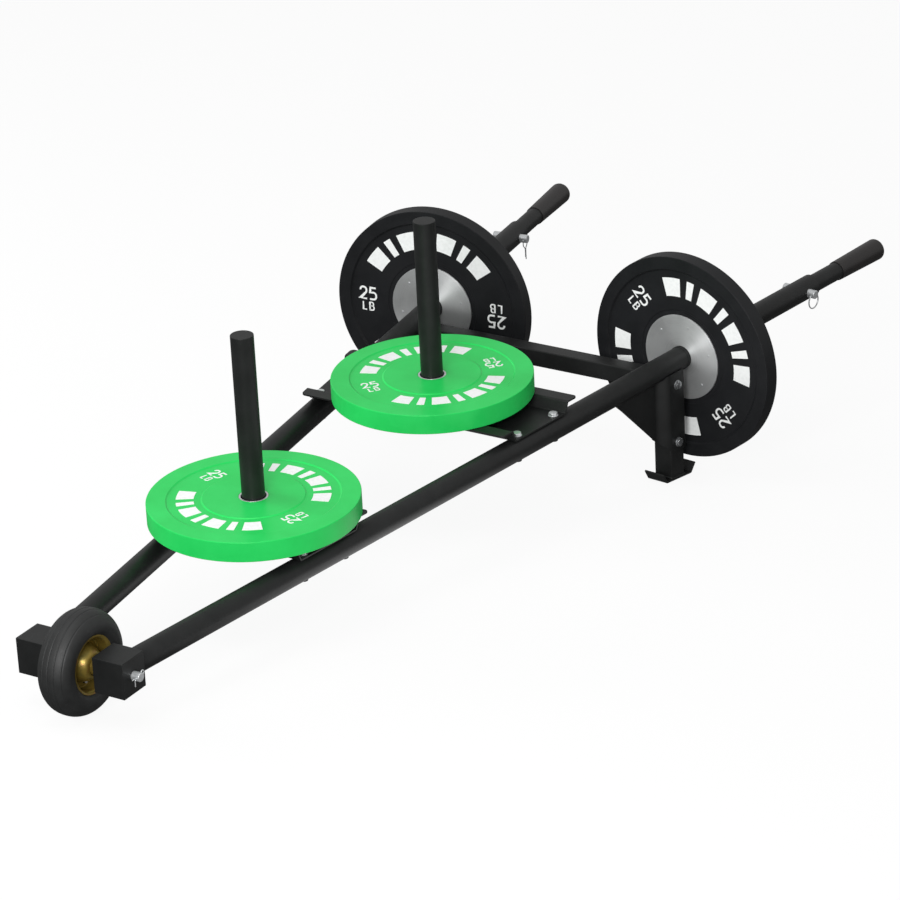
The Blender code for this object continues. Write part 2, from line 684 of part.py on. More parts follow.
def foot_outline():
    """Section of a foot: a flat sole with two lips that lean outwards, as (y, z) points."""
    half = FOOT_LENGTH / 2
    lean = FOOT_LIP_LEAN
    tip = (half + FOOT_LIP * sin(lean), FOOT_LIP * cos(lean))
    tip_in = (tip[0] - FOOT_SHEET * cos(lean), tip[1] + FOOT_SHEET * sin(lean))
    rise = FOOT_SHEET * (1 - sin(lean)) / cos(lean)
    root_in = (half - FOOT_SHEET * cos(lean) + rise * sin(lean), FOOT_SHEET)
    right = [(half, 0.0), tip, tip_in, root_in]
    return right + [(-y, z) for y, z in reversed(right)]


def make_foot(side, sign, machine, looks):
    """A foot flat on the ground under its leg."""
    down = -(TYRE_RADIUS + LEG_Y * sin(CHASSIS_TILT)) / cos(CHASSIS_TILT)
    place = (
        sign * (RAIL_X_AT_AXLE + LEG_S * sin(RAIL_SPLAY)),
        LEG_Y * cos(CHASSIS_TILT) - down * sin(CHASSIS_TILT),
        0,
    )
    frame = empty("foot_frame_" + side, machine, place, (0, 0, -sign * RAIL_SPLAY))
    foot = prism("foot_" + side, foot_outline(), -FOOT_WIDTH / 2, FOOT_WIDTH / 2, looks["black"], frame)
    foot.rotation_euler = (pi / 2, 0, pi / 2)


def make_crosstube(chassis, rails, looks):
    """The square tube between the legs and the gussets under its ends."""
    half = CROSSTUBE_SIZE / 2
    reach = rail_x(CROSSTUBE_Y)
    low = Vector((-reach, CROSSTUBE_Y - half, CROSSTUBE_TOP_Z - CROSSTUBE_SIZE))
    high = Vector((reach, CROSSTUBE_Y + half, CROSSTUBE_TOP_Z))
    wall = Vector((-CROSSTUBE_WALL, CROSSTUBE_WALL, CROSSTUBE_WALL))
    tube = box("rear_crosstube", low, high, looks["black"], chassis)
    shape_with(tube, box("crosstube_hollow", low + wall, high - wall, None, chassis))
    face = BRACKET_OUTER_FACE + SEAT_GAP
    top = CROSSTUBE_TOP_Z - CROSSTUBE_SIZE - SEAT_GAP
    for side, sign in SIDES.items():
        inner, outer = sorted((-sign * face, sign * FAR))
        beyond = box("leg_side_" + side, (inner, 0, -FAR), (outer, FAR, FAR), None, rails[side])
        shape_with(tube, beyond)
        edge = rail_x(CROSSTUBE_Y) - face / cos(RAIL_SPLAY)
        corner = [(sign * x, z) for x, z in ((reach, top), (edge - INNER_GUSSET_REACH, top))]
        corner += [(sign * edge, top - INNER_GUSSET_REACH), (sign * reach, top - INNER_GUSSET_REACH)]
        gusset = prism(
            "inner_gusset_" + side,
            corner,
            -INNER_GUSSET_SHEET / 2,
            INNER_GUSSET_SHEET / 2,
            looks["black"],
            chassis,
            (0, CROSSTUBE_Y, 0),
            (pi / 2, 0, 0),
        )
        shape_with(gusset, beyond)


def make_handle(side, frame, looks):
    """The handle tube inside the sleeve and the rubber grip over its end."""
    front = RAIL_END - HANDLE_INSERTION
    end = GRIP_END - GRIP_CAP - SEAT_GAP
    pipe = tube_profile(HANDLE_RADIUS, HANDLE_RADIUS - HANDLE_WALL, front, end)
    handle = turned("handle_" + side, pipe, looks["black"], frame, rotation=AXIS_ALONG_Y)
    hole = HITCH_PIN_RADIUS + BORE_GAP
    drill(handle, frame, (0, HITCH_S, 0), AXIS_ALONG_X, hole, 2 * RAIL_RADIUS)
    bore = HANDLE_RADIUS + SEAT_GAP
    round_end = arc((GRIP_END_RADIUS - GRIP_EDGE, GRIP_END - GRIP_EDGE), GRIP_EDGE, pi / 2, 0.0)
    profile = [(0.0, GRIP_END), *round_end, (GRIP_START_RADIUS, GRIP_START)]
    profile += [(bore, GRIP_START), (bore, GRIP_END - GRIP_CAP), (0.0, GRIP_END - GRIP_CAP)]
    turned("grip_" + side, profile, looks["grip"], frame, rotation=AXIS_ALONG_Y)


def clip_points():
    """Route of a clip in its own plane: a loop through the cross hole and two hanging legs."""
    corner = CLIP_CORNER
    side_low = -CLIP_LOOP_SIDE
    leg = CLIP_WIRE + SEAT_GAP
    top = arc((CLIP_HALF_WIDTH - corner, -corner), corner, pi / 2, 0.0)
    neck = []
    for i in range(1, 2 * ARC_STEPS + 1):
        t = i / (2 * ARC_STEPS)
        ease = (1 - cos(pi * t)) / 2
        along = CLIP_HALF_WIDTH + (leg - CLIP_HALF_WIDTH) * ease
        neck.append((along, side_low + (-CLIP_LOOP_LENGTH - side_low) * t))
    right = top + neck + [(leg, -CLIP_LENGTH)]
    short = -CLIP_LOOP_LENGTH - CLIP_SHORT_LEG
    left = [(-along, z) for along, z in top + neck] + [(-leg, short)]
    return [(0, along, z) for along, z in list(reversed(left)) + right]


def make_hitch(side, sign, frame, looks):
    """The pin through sleeve and handle, with a pull ring outside and a clip inside."""
    place = (0, HITCH_S, 0)
    rod = rod_profile(HITCH_PIN_RADIUS, -HITCH_PIN_HALF, HITCH_PIN_HALF, HITCH_PIN_CHAMFER)
    pin = turned("hitch_pin_" + side, rod, looks["zinc"], frame, place, AXIS_ALONG_X, SMALL_SIDES)
    dip = PULL_RING_RADIUS - (PULL_RING_RADIUS**2 - HITCH_PIN_RADIUS**2) ** 0.5
    hang = PULL_RING_RADIUS - dip / 2
    ring_hole = PULL_RING_WIRE + dip / 2 + BORE_GAP
    clip_hole = CLIP_WIRE + BORE_GAP
    for lateral, radius in ((sign * CROSS_HOLE_X, ring_hole), (-sign * CROSS_HOLE_X, clip_hole)):
        spot = (lateral, HITCH_S, 0)
        drill(pin, frame, spot, AXIS_ALONG_Y, radius, 2 * HITCH_PIN_RADIUS)
    ring_axis = empty("pull_ring_axis_" + side, frame, (sign * CROSS_HOLE_X, HITCH_S, 0))
    loop = [
        (PULL_RING_RADIUS + PULL_RING_WIRE * cos(a), PULL_RING_WIRE * sin(a))
        for a in (-2 * pi * i / WIRE_SIDES for i in range(WIRE_SIDES))
    ]
    turned(
        "pull_ring_" + side,
        loop,
        looks["zinc"],
        ring_axis,
        (0, 0, -hang),
        AXIS_ALONG_X,
        TUBE_SIDES,
    )
    clip_axis = (-sign * CROSS_HOLE_X, HITCH_S, 0)
    wire("pin_clip_" + side, clip_points(), CLIP_WIRE, looks["zinc"], frame, clip_axis)


def make_side_plate(side, frame, looks):
    """A rubber plate on its sleeve with a steel disc in the middle."""
    half = SIDE_PLATE_THICKNESS / 2
    place = (0, SIDE_PLATE_S + half, 0)
    seat = DISC_RADIUS + SEAT_GAP
    slope = SIDE_PLATE_RECESS
    edge = [
        (SIDE_PLATE_RADIUS - SIDE_PLATE_EDGE, half),
        (SIDE_PLATE_RADIUS - SIDE_PLATE_EDGE / 3, half - SIDE_PLATE_EDGE / 3),
        (SIDE_PLATE_RADIUS, half - SIDE_PLATE_EDGE),
    ]
    face = [(seat, half - SIDE_PLATE_RECESS), (SIDE_PLATE_RIM_RADIUS - slope, half - SIDE_PLATE_RECESS)]
    face.append((SIDE_PLATE_RIM_RADIUS, half))
    turned(
        "side_plate_" + side,
        mirrored(face + edge),
        looks["plate_black"],
        frame,
        place,
        AXIS_ALONG_Y,
        WIDE_SIDES,
    )
    thick = half - DISC_RECESS
    disc_profile = tube_profile(DISC_RADIUS, PLATE_BORE_RADIUS, -thick, thick)
    disc = turned("steel_disc_" + side, disc_profile, looks["steel"], frame, place, AXIS_ALONG_Y, WIDE_SIDES)
    for i in range(DIMPLE_COUNT):
        angle = 2 * pi * i / DIMPLE_COUNT + DIMPLE_TURN
        x = DIMPLE_CIRCLE_RADIUS * cos(angle)
        z = DIMPLE_CIRCLE_RADIUS * sin(angle)
        for face_y in (place[1] - thick, place[1] + thick):
            drill(disc, frame, (x, face_y, z), AXIS_ALONG_Y, DIMPLE_RADIUS, DIMPLE_DEPTH, HEX)


def make_post_plate(name, y, chassis, looks):
    """A rubber plate lying on its crossmember, with a steel ring in its bore."""
    half = POST_PLATE_THICKNESS / 2
    place = (0, y, POST_PLATE_Z + half)
    low = half - POST_PLATE_RECESS
    step = POST_PLATE_RECESS
    face = [
        (RING_OUTER_RADIUS + SEAT_GAP, half),
        (POST_PLATE_RING_INNER - step, half),
        (POST_PLATE_RING_INNER, low),
        (POST_PLATE_RING_OUTER, low),
        (POST_PLATE_RING_OUTER + step, half),
        (POST_PLATE_RADIUS - POST_PLATE_EDGE, half),
        (POST_PLATE_RADIUS - POST_PLATE_EDGE / 3, half - POST_PLATE_EDGE / 3),
        (POST_PLATE_RADIUS, half - POST_PLATE_EDGE),
    ]
    turned(name, mirrored(face), looks["plate_green"], chassis, place, sides=WIDE_SIDES)
    ring = tube_profile(RING_OUTER_RADIUS, PLATE_BORE_RADIUS, -half, half)
    turned(name + "_bore_ring", ring, looks["steel"], chassis, place)


def centre_on_ground(machine):
    """Moves the machine so that the centre of its footprint is at the origin."""
    bpy.context.view_layer.update()
    graph = bpy.context.evaluated_depsgraph_get()
    ends = []
    for name in ("tyre", "grip_left"):
        evaluated = bpy.data.objects[name].evaluated_get(graph)
        ends += [(evaluated.matrix_world @ vertex.co).y for vertex in evaluated.data.vertices]
    machine.location.y = -(min(ends) + max(ends)) / 2


def make_looks():
    return {
        "black": finish("black_powder_coat", (0.024, 0.024, 0.023), 0.45),
        "tyre": finish("tyre_rubber", (0.018, 0.018, 0.018), 0.6),
        "grip": finish("grip_rubber", (0.022, 0.020, 0.019), 0.5),
        "plate_black": finish("black_plate_rubber", (0.016, 0.016, 0.017), 0.55),
        "plate_green": finish("green_plate_rubber", (0.02, 0.55, 0.12), 0.45),
        "zinc": finish("zinc_plate", (0.62, 0.62, 0.60), 0.3, 1.0),
        "zinc_gold": finish("yellow_zinc_plate", (0.72, 0.47, 0.12), 0.3, 1.0),
        "steel": finish("brushed_steel", (0.55, 0.55, 0.55), 0.35, 1.0),
    }


def main():
    clear_scene()
    looks = make_looks()
    machine = empty("machine")
    chassis = empty("chassis", machine, (0, 0, TYRE_RADIUS), (CHASSIS_TILT, 0, 0))
    rails = {
        side: empty("rail_frame_" + side, chassis, (sign * RAIL_X_AT_AXLE, 0, 0), (0, 0, -sign * RAIL_SPLAY))
        for side, sign in SIDES.items()
    }
    make_wheel(chassis, looks)
    make_axle(chassis, looks)
    make_blocks(chassis, looks)
    rail_nodes = make_rails(chassis, rails, looks)
    make_stop_collars(rails, looks)
    for label, y in (("front", POST_Y_FRONT), ("rear", POST_Y_REAR)):
        hat = make_crossmember(label + "_crossmember", y - HAT_BEFORE_POST, chassis, looks)
        make_post(label + "_post", y, chassis, looks)
        make_crossmember_bolts(label, y - HAT_BEFORE_POST, hat, rail_nodes, chassis, looks)
        make_post_plate(label + "_plate", y, chassis, looks)
    ground = box(
        "sole_top_plane",
        (-FAR, -FAR, -FAR),
        (FAR, FAR, FOOT_SHEET + SEAT_GAP),
        None,
        machine,
    )
    for side, sign in SIDES.items():
        make_leg(side, sign, rails[side], chassis, ground, looks)
        make_foot(side, sign, machine, looks)
        make_handle(side, rails[side], looks)
        make_hitch(side, sign, rails[side], looks)
        make_side_plate(side, rails[side], looks)
    make_crosstube(chassis, rails, looks)
    centre_on_ground(machine)


main()
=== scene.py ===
# %% [markdown]
# # Plate-loaded wheelbarrow
#
# A low strength-training barrow: two long tubes spread from a small wheel to a pair of grips,
# upright posts and the tubes themselves carry weight plates, and two flat feet hold the back up.
# The CAD solids say where everything is and how it moves. This lesson dresses them: each cell
# makes one piece or one finish, worked out with numpy in the same frame as the solids.

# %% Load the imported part
import json

import bpy
import numpy as np
from mathutils import Matrix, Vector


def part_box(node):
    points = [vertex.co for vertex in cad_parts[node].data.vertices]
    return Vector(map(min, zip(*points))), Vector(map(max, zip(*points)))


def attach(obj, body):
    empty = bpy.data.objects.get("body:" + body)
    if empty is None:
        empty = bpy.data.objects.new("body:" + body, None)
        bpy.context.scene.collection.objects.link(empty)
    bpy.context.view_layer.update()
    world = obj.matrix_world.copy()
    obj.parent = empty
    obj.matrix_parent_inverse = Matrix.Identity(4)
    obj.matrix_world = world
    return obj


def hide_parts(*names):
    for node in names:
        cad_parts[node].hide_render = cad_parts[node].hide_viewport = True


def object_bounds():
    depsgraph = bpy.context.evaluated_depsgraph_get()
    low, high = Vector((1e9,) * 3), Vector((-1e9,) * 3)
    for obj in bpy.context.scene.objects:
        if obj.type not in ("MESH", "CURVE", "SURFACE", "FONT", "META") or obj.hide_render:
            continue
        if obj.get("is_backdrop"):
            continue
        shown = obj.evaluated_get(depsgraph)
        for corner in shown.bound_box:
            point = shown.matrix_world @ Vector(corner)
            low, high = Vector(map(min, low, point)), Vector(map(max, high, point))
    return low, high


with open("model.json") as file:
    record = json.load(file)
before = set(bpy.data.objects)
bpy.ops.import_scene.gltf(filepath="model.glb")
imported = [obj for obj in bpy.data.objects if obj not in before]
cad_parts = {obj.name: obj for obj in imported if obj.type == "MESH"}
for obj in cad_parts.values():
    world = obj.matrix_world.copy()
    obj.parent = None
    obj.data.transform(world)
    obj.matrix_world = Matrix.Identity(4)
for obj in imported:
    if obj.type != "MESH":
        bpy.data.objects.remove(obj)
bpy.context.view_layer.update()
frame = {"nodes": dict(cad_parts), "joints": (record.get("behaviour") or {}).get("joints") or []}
joints = {joint["name"]: joint for joint in frame["joints"]}

# %% [markdown]
# ## Frames
#
# Every round or bent piece is easiest to describe in a frame of its own. The chassis is tilted
# about the axle, and each tube is splayed from it. The directions come from the joints in the
# record, so the pieces follow the CAD even if an angle changes there.

# %% Frames of the chassis and of the two tubes
pi = np.pi
SIDES = {"left": -1, "right": 1}
RAIL_X_AT_AXLE = 0.0826


def unit(vectors):
    """Vectors divided by their own length."""
    return vectors / np.linalg.norm(vectors, axis=-1, keepdims=True)


def frame_from(origin, x, y, z):
    """A 4 by 4 matrix whose columns are three directions and an origin."""
    made = np.eye(4)
    made[:3, 0], made[:3, 1], made[:3, 2], made[:3, 3] = x, y, z, origin
    return made


def placed(points, base):
    """Points given in a frame, as points of the row frame."""
    return np.asarray(points, float) @ base[:3, :3].T + base[:3, 3]


def aimed(base, spot=(0, 0, 0), axis="z", turn=0.0):
    """A frame moved to a spot in it, with Z along the named axis, then turned about that Z."""
    order = {"x": (1, 2, 0), "y": (2, 0, 1), "z": (0, 1, 2)}[axis]
    cos, sin = np.cos(turn), np.sin(turn)
    spin = np.array([[cos, -sin, 0], [sin, cos, 0], [0, 0, 1]])
    made = base.copy()
    made[:3, 3] = placed(spot, base)
    made[:3, :3] = base[:3, order] @ spin
    return made


along_x = np.array([1.0, 0.0, 0.0])
up = np.array(joints["front_plate_lift"]["axis"])
chassis = frame_from(joints["wheel_spin"]["pos_m"], along_x, np.cross(up, along_x), up)
rails = {}
for side, sign in SIDES.items():
    lateral = np.array(joints["hitch_pin_play_" + side]["axis"])
    backward = np.array(joints[side + "_plate_slide"]["axis"])
    rails[side] = frame_from(placed((sign * RAIL_X_AT_AXLE, 0, 0), chassis), lateral, backward, up)
RAIL_SPLAY = float(np.arccos(rails["right"][:3, 1] @ chassis[:3, 1]))
print("rails splay by", round(np.degrees(RAIL_SPLAY), 2), "degrees")

# %% [markdown]
# ## Camera
#
# The photograph was taken with a long lens from the front right, a little above the wheel. The
# camera was solved from the outlines of the tubes, plates and wheel, with the optical centre in
# the middle of the frame, so no lens shift is needed. Its place is given from the axle.

# %% Camera
CAMERA_FROM_AXLE = (4.3248, -5.6352, 3.0098)
CAMERA_HEADING, CAMERA_DROP, CAMERA_ROLL = np.radians((32.015, 20.139, 0.128))
FOCAL_PIXELS = 4165.9
PICTURE_PIXELS = 900

camera_data = bpy.data.cameras.new("studio_camera")
camera_data.sensor_width = 36.0
camera_data.lens = FOCAL_PIXELS / PICTURE_PIXELS * camera_data.sensor_width
camera_data.clip_end = 100.0
camera = bpy.data.objects.new("studio_camera", camera_data)
bpy.context.scene.collection.objects.link(camera)
camera.matrix_world = (
    Matrix.Translation(chassis[:3, 3] + CAMERA_FROM_AXLE)
    @ Matrix.Rotation(CAMERA_HEADING, 4, "Z")
    @ Matrix.Rotation(pi / 2 - CAMERA_DROP, 4, "X")
    @ Matrix.Rotation(CAMERA_ROLL, 4, "Z")
)
bpy.context.scene.camera = camera
print("lens", round(camera_data.lens, 1), "mm")

# %% [markdown]
# ## From a finish to a node tree
#
# A finish starts as what the real one is called and how it was made. Colours are written as the
# hex values that a colour picker shows, which are sRGB, so one function turns them to the linear
# values that the renderer wants. One more function adds a node, sets it and links it. Most finishes
# are slow clouds in the colour and a fine grain in the surface, so they share one small tree.


# %% Helpers for materials
def linear(hex_value, alpha=1.0):
    """sRGB hex to linear: below 0.04045 divide by 12.92, else ((c + 0.055) / 1.055) to the 2.4."""
    channels = np.array([int(hex_value[i : i + 2], 16) / 255 for i in (1, 3, 5)])
    low, high = channels / 12.92, ((channels + 0.055) / 1.055) ** 2.4
    return (*np.where(channels <= 0.04045, low, high), alpha)


def feed(tree, node, inputs):
    """Gives each named input a value or a link. A node stands for its first output."""
    for key, value in inputs.items():
        if isinstance(value, bpy.types.Node):
            value = value.outputs[0]
        if isinstance(value, bpy.types.NodeSocket):
            tree.links.new(value, node.inputs[key])
        else:
            node.inputs[key].default_value = value
    return node


def add_node(tree, kind, inputs, **settings):
    """Adds one shader node: its settings first, then a value or a link for each named input."""
    made = tree.nodes.new("ShaderNode" + kind)
    for key, value in settings.items():
        setattr(made, key, value)
    return feed(tree, made, inputs)


def new_finish(name, constants):
    """A material with a Principled shader whose plain sockets are set, and its Object coordinates."""
    material = bpy.data.materials.new(name)
    material.use_nodes = True
    tree = material.node_tree
    shader = feed(tree, tree.nodes["Principled BSDF"], constants)
    return material, tree, shader, add_node(tree, "TexCoord", {}).outputs["Object"]


def set_tones(stops, tones):
    """Gives a ramp's stops their (position, hex) pairs: inner stops are added, the ends are moved."""
    for position, colour in tones[1:-1]:
        stops.new(position).color = linear(colour)
    for end in (0, -1):
        stops[end].position, stops[end].color = tones[end][0], linear(tones[end][1])


def clouded(name, constants, tones, cloud, grain, rough, bump, both=False):
    """Slow clouds choose the colour, fine grain makes the bump, whose strength and depth are given.
    The roughness runs between its two ends with the grain, or with grain times cloud if both is set:
    that product seldom passes a half, so a half counts as the highest value."""
    material, tree, shader, place = new_finish(name, constants)
    slow = add_node(tree, "TexNoise", {"Vector": place, **cloud})
    fine = add_node(tree, "TexNoise", {"Vector": place, **grain})
    tone = add_node(tree, "ValToRGB", {"Fac": slow})
    set_tones(tone.color_ramp.elements, tones)
    source, highest = fine, 1.0
    if both:
        source, highest = add_node(tree, "Math", {0: slow, 1: fine}, operation="MULTIPLY"), 0.5
    ends = {"From Max": highest, "To Min": rough[0], "To Max": rough[1]}
    gloss = add_node(tree, "MapRange", {"Value": source, **ends})
    relief = add_node(tree, "Bump", {"Height": fine, "Strength": bump[0], "Distance": bump[1]})
    feed(tree, shader, {"Base Color": tone, "Roughness": gloss, "Normal": relief})
    return material


def per_mm(size):
    """Scale of a texture whose features are so many millimetres across."""
    return 1000.0 / size


# %% [markdown]
# ## Powder coat on the steel frame
#
# Dry polyester powder is sprayed on the steel and baked, so it flows into a satin black skin with
# a fine orange peel. The peel is under a millimetre on the real tube. At this camera a millimetre
# is half a pixel, so it is drawn at 3 mm, and a slower cloud keeps long tubes from looking printed.

# %% Powder coat
powder_black = clouded(
    "powder_coat_satin_black",
    {"IOR": 1.5, "Specular IOR Level": 0.3},
    ((0.32, "#161717"), (0.68, "#1d1e1e")),
    cloud={"Scale": per_mm(45.0), "Detail": 4.0},
    grain={"Scale": per_mm(3.0), "Detail": 3.0},
    rough=(0.40, 0.52),
    bump=(0.22, 0.00025),
)

# %% [markdown]
# ## Rubber: tyre, plates and grips
#
# Solid rubber comes from a mould. Carbon black makes the tyre and the grips dark, the plates are
# pressed from virgin rubber with colour in it. All of them share the same picture: a slightly
# waxy sheen, faint mould clouds and a fine tooth from the sand-blasted mould.


# %% Moulded rubber
def moulded_rubber(name, dark, pale, cloud_mm, tooth_mm, rough, strength, sheen=0.5):
    """Rubber out of a mould: clouds in the colour, a fine tooth in the bump and the roughness."""
    constants = {"IOR": 1.5, "Specular IOR Level": sheen}
    cloud = {"Scale": per_mm(cloud_mm), "Detail": 5.0, "Roughness": 0.6}
    tooth = {"Scale": per_mm(tooth_mm), "Detail": 4.0}
    tones, bump = ((0.3, dark), (0.7, pale)), (strength, 0.0003)
    return clouded(name, constants, tones, cloud, tooth, rough, bump, both=True)


tyre_rubber = moulded_rubber("tyre_rubber_moulded", "#161717", "#202121", 24.0, 2.2, (0.48, 0.66), 0.35)
grip_rubber = moulded_rubber("grip_rubber_smooth", "#181514", "#1f1b1a", 30.0, 2.5, (0.40, 0.52), 0.15)
black_rubber = moulded_rubber(
    "plate_rubber_black", "#141517", "#1b1c1e", 60.0, 2.4, (0.44, 0.60), 0.18, sheen=0.25
)
green_rubber = moulded_rubber(
    "plate_rubber_green", "#21c356", "#2bcd60", 70.0, 3.0, (0.26, 0.38), 0.10, sheen=0.2
)

# %% [markdown]
# ## Printed marks
#
# The weights and the plain blocks round the plates are screen printed in white ink. The film is
# thin and matt, and the print is a little less white where the ink lies thin.

# %% White print
white_print, tree, shader, place = new_finish("screen_print_white", {"Roughness": 0.5, "IOR": 1.45})
ink = add_node(tree, "TexNoise", {"Vector": place, "Scale": per_mm(7.0), "Detail": 5.0})
tone = add_node(tree, "ValToRGB", {"Fac": ink})
set_tones(tone.color_ramp.elements, ((0.25, "#e6e8e7"), (0.6, "#f0f2f1")))
feed(tree, shader, {"Base Color": tone})

# %% [markdown]
# ## Zinc on the fasteners and the rim
#
# Bolts, pins and rings are steel with a bright zinc layer, duller on the leg bolts. The rim has a
# yellow chromate film over its zinc, thin enough to show interference colours that drift from olive
# to copper across a few centimetres.


# %% Zinc plate, bright and yellow
def zinc(name, tones, cloud_mm, rough, metal):
    """Plated steel: a colour ramp over slow clouds, and a roughness that varies with fine grain.
    The film over the zinc scatters some light itself, so a share of the surface is not metal."""
    cloud = {"Scale": per_mm(cloud_mm), "Detail": 3.0, "Distortion": 0.6}
    grain = {"Scale": per_mm(1.6), "Detail": 4.0}
    return clouded(name, {"Metallic": metal}, tones, cloud, grain, rough, bump=(0.12, 0.0001))


bright_zinc = zinc("zinc_plate_bright", ((0.3, "#c4c7c9"), (0.7, "#dee0e1")), 9.0, (0.24, 0.40), 0.65)
leg_bolt_zinc = zinc("zinc_plate_dull", ((0.3, "#a0a2a4"), (0.7, "#b6b8ba")), 9.0, (0.16, 0.28), 0.85)
olive_to_copper = ((0.28, "#6f6633"), (0.45, "#8f7a36"), (0.6, "#806c30"), (0.74, "#845530"))
yellow_zinc = zinc("zinc_plate_yellow", olive_to_copper, 26.0, (0.28, 0.40), 0.6)

# %% [markdown]
# ## Turned steel in the middle of the side plates
#
# The disc was faced on a lathe, so it is covered with fine rings. Light spreads across the rings
# and draws the bright fan that such a disc always shows. The shader's anisotropy needs to know
# which way the rings run, so the disc carries a UV map with U round the disc and V outwards. The
# shader spreads light along its tangent, so a quarter turn makes it spread across the rings. The
# rings themselves are bands of V, 1.4 mm apart, because the real tool marks are too fine to see.

# %% Turned steel
turned_steel, tree, shader, place = new_finish(
    "steel_lathe_turned",
    {"Metallic": 0.78, "Anisotropic": 0.82, "Roughness": 0.5, "Anisotropic Rotation": 0.25},
)
turned_steel_map = "round_and_out"
spread = add_node(tree, "UVMap", {}, uv_map=turned_steel_map)
outwards = add_node(tree, "SeparateXYZ", {"Vector": spread}).outputs["Y"]
ring_place = add_node(tree, "CombineXYZ", {"X": outwards})
rings = add_node(tree, "TexNoise", {"Vector": ring_place, "Scale": per_mm(1.4), "Detail": 5.0})
stain = add_node(tree, "TexNoise", {"Vector": place, "Scale": per_mm(40.0), "Detail": 3.0})
mixed = add_node(tree, "Math", {0: rings, 1: stain}, operation="ADD")
tone = add_node(tree, "ValToRGB", {"Fac": mixed})
set_tones(tone.color_ramp.elements, ((0.6, "#c3c5c5"), (1.0, "#dcdede")))
bump = add_node(tree, "Bump", {"Height": rings, "Strength": 0.12, "Distance": 0.0001})
lay = add_node(tree, "Tangent", {}, direction_type="UV_MAP", uv_map=turned_steel_map)
feed(tree, shader, {"Base Color": tone, "Normal": bump, "Tangent": lay})
print(len(bpy.data.materials), "materials")

# %% [markdown]
# ## Surfaces from rings of points
#
# Nearly every piece here is a row of closed rings: a turned piece has one ring for each point of
# its profile, a tube one ring at each station of its path. Neighbouring rings are joined by quads.
# The row is closed on itself, like a doughnut, or each end is closed by a fan, or, for a bent
# sheet, by a strip between its two faces.


# %% Skin over rings, and the piece that it makes
def skin(grid, wrap=False, strip=False):
    """Points and faces over a grid of rings: quad (i, j) joins ring i to i + 1 and column j to j + 1."""
    rows, columns = grid.shape[:2]
    index = np.arange(rows * columns).reshape(rows, columns)
    points = grid.reshape(-1, 3)
    stack = np.vstack([index, index[:1]]) if wrap else index
    low, high = stack[:-1], stack[1:]
    quads = np.stack([low, np.roll(low, -1, 1), np.roll(high, -1, 1), high], -1).reshape(-1, 4)
    triangles = np.zeros((0, 3), int)
    if not wrap and strip:
        i = np.arange(columns // 2 - 1)
        pairs = np.stack([i, i + 1, columns - 2 - i, columns - 1 - i], -1)
        quads = np.vstack([quads, index[0][pairs[:, ::-1]], index[-1][pairs]])
    elif not wrap:
        first, last = index[0], index[-1]
        hub = len(points)
        points = np.vstack([points, grid[0].mean(0), grid[-1].mean(0)])
        start = np.stack([np.roll(first, -1), first, np.full(columns, hub)], -1)
        end = np.stack([last, np.roll(last, -1), np.full(columns, hub + 1)], -1)
        triangles = np.vstack([start, end])
    return points, quads, triangles


def volume_inside(points, quads, triangles):
    """Signed volume: the sum of a . (b x c) / 6 over all triangles. It is positive if faces look out."""
    all_triangles = np.vstack([quads[:, [0, 1, 2]], quads[:, [0, 2, 3]], triangles])
    a, b, c = (points[all_triangles[:, i]] for i in range(3))
    return float((a * np.cross(b, c)).sum() / 6)


SHARP_FROM, BEVEL_FROM = np.radians((38, 45))
# The record's slot that goes with each finish.
SLOTS = {
    powder_black.name: "black_powder_coat",
    tyre_rubber.name: "tyre_rubber",
    grip_rubber.name: "grip_rubber",
    black_rubber.name: "black_plate_rubber",
    green_rubber.name: "green_plate_rubber",
    bright_zinc.name: "zinc_plate",
    leg_bolt_zinc.name: "zinc_plate",
    yellow_zinc.name: "yellow_zinc_plate",
    turned_steel.name: "brushed_steel",
}


def build(name, shells, stands_for=None, finish=powder_black, body="frame", slot=None, bevel=0.0):
    """Joins closed shells into one piece, turns each outwards and lets it ride on a CAD body. A
    piece is black steel of the frame, unless the call says otherwise."""
    all_points, all_faces, start = [], [], 0
    for points, quads, triangles in shells:
        if volume_inside(points - points.mean(0), quads, triangles) < 0:
            quads, triangles = quads[:, ::-1], triangles[:, ::-1]
        all_points.append(points)
        all_faces += (quads + start).tolist() + (triangles + start).tolist()
        start += len(points)
    mesh = bpy.data.meshes.new(name)
    mesh.from_pydata(np.vstack(all_points).tolist(), [], all_faces)
    mesh.polygons.foreach_set("use_smooth", np.ones(len(mesh.polygons), bool))
    mesh.set_sharp_from_angle(angle=SHARP_FROM)
    mesh.materials.append(finish)
    piece = bpy.data.objects.new(name, mesh)
    bpy.context.scene.collection.objects.link(piece)
    if bevel:
        edge = piece.modifiers.new("broken edges", "BEVEL")
        edge.width, edge.segments, edge.limit_method, edge.angle_limit = bevel, 2, "ANGLE", BEVEL_FROM
    shade = piece.modifiers.new("even shading", "WEIGHTED_NORMAL")
    shade.keep_sharp = True
    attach(piece, body)
    if stands_for:
        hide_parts(stands_for)
    slot = slot or SLOTS.get(finish.name)
    print(f"{name}: {len(shells)} shells, {sum(len(f) - 2 for f in all_faces)} triangles")
    return piece


# %% [markdown]
# ## Profiles
#
# A real edge is never a knife edge. Outlines are written with sharp corners, because those are the
# sizes one measures, and a helper then swaps each corner for a true arc. A bent sheet is a line
# with a thickness, so another helper offsets the line to both sides.


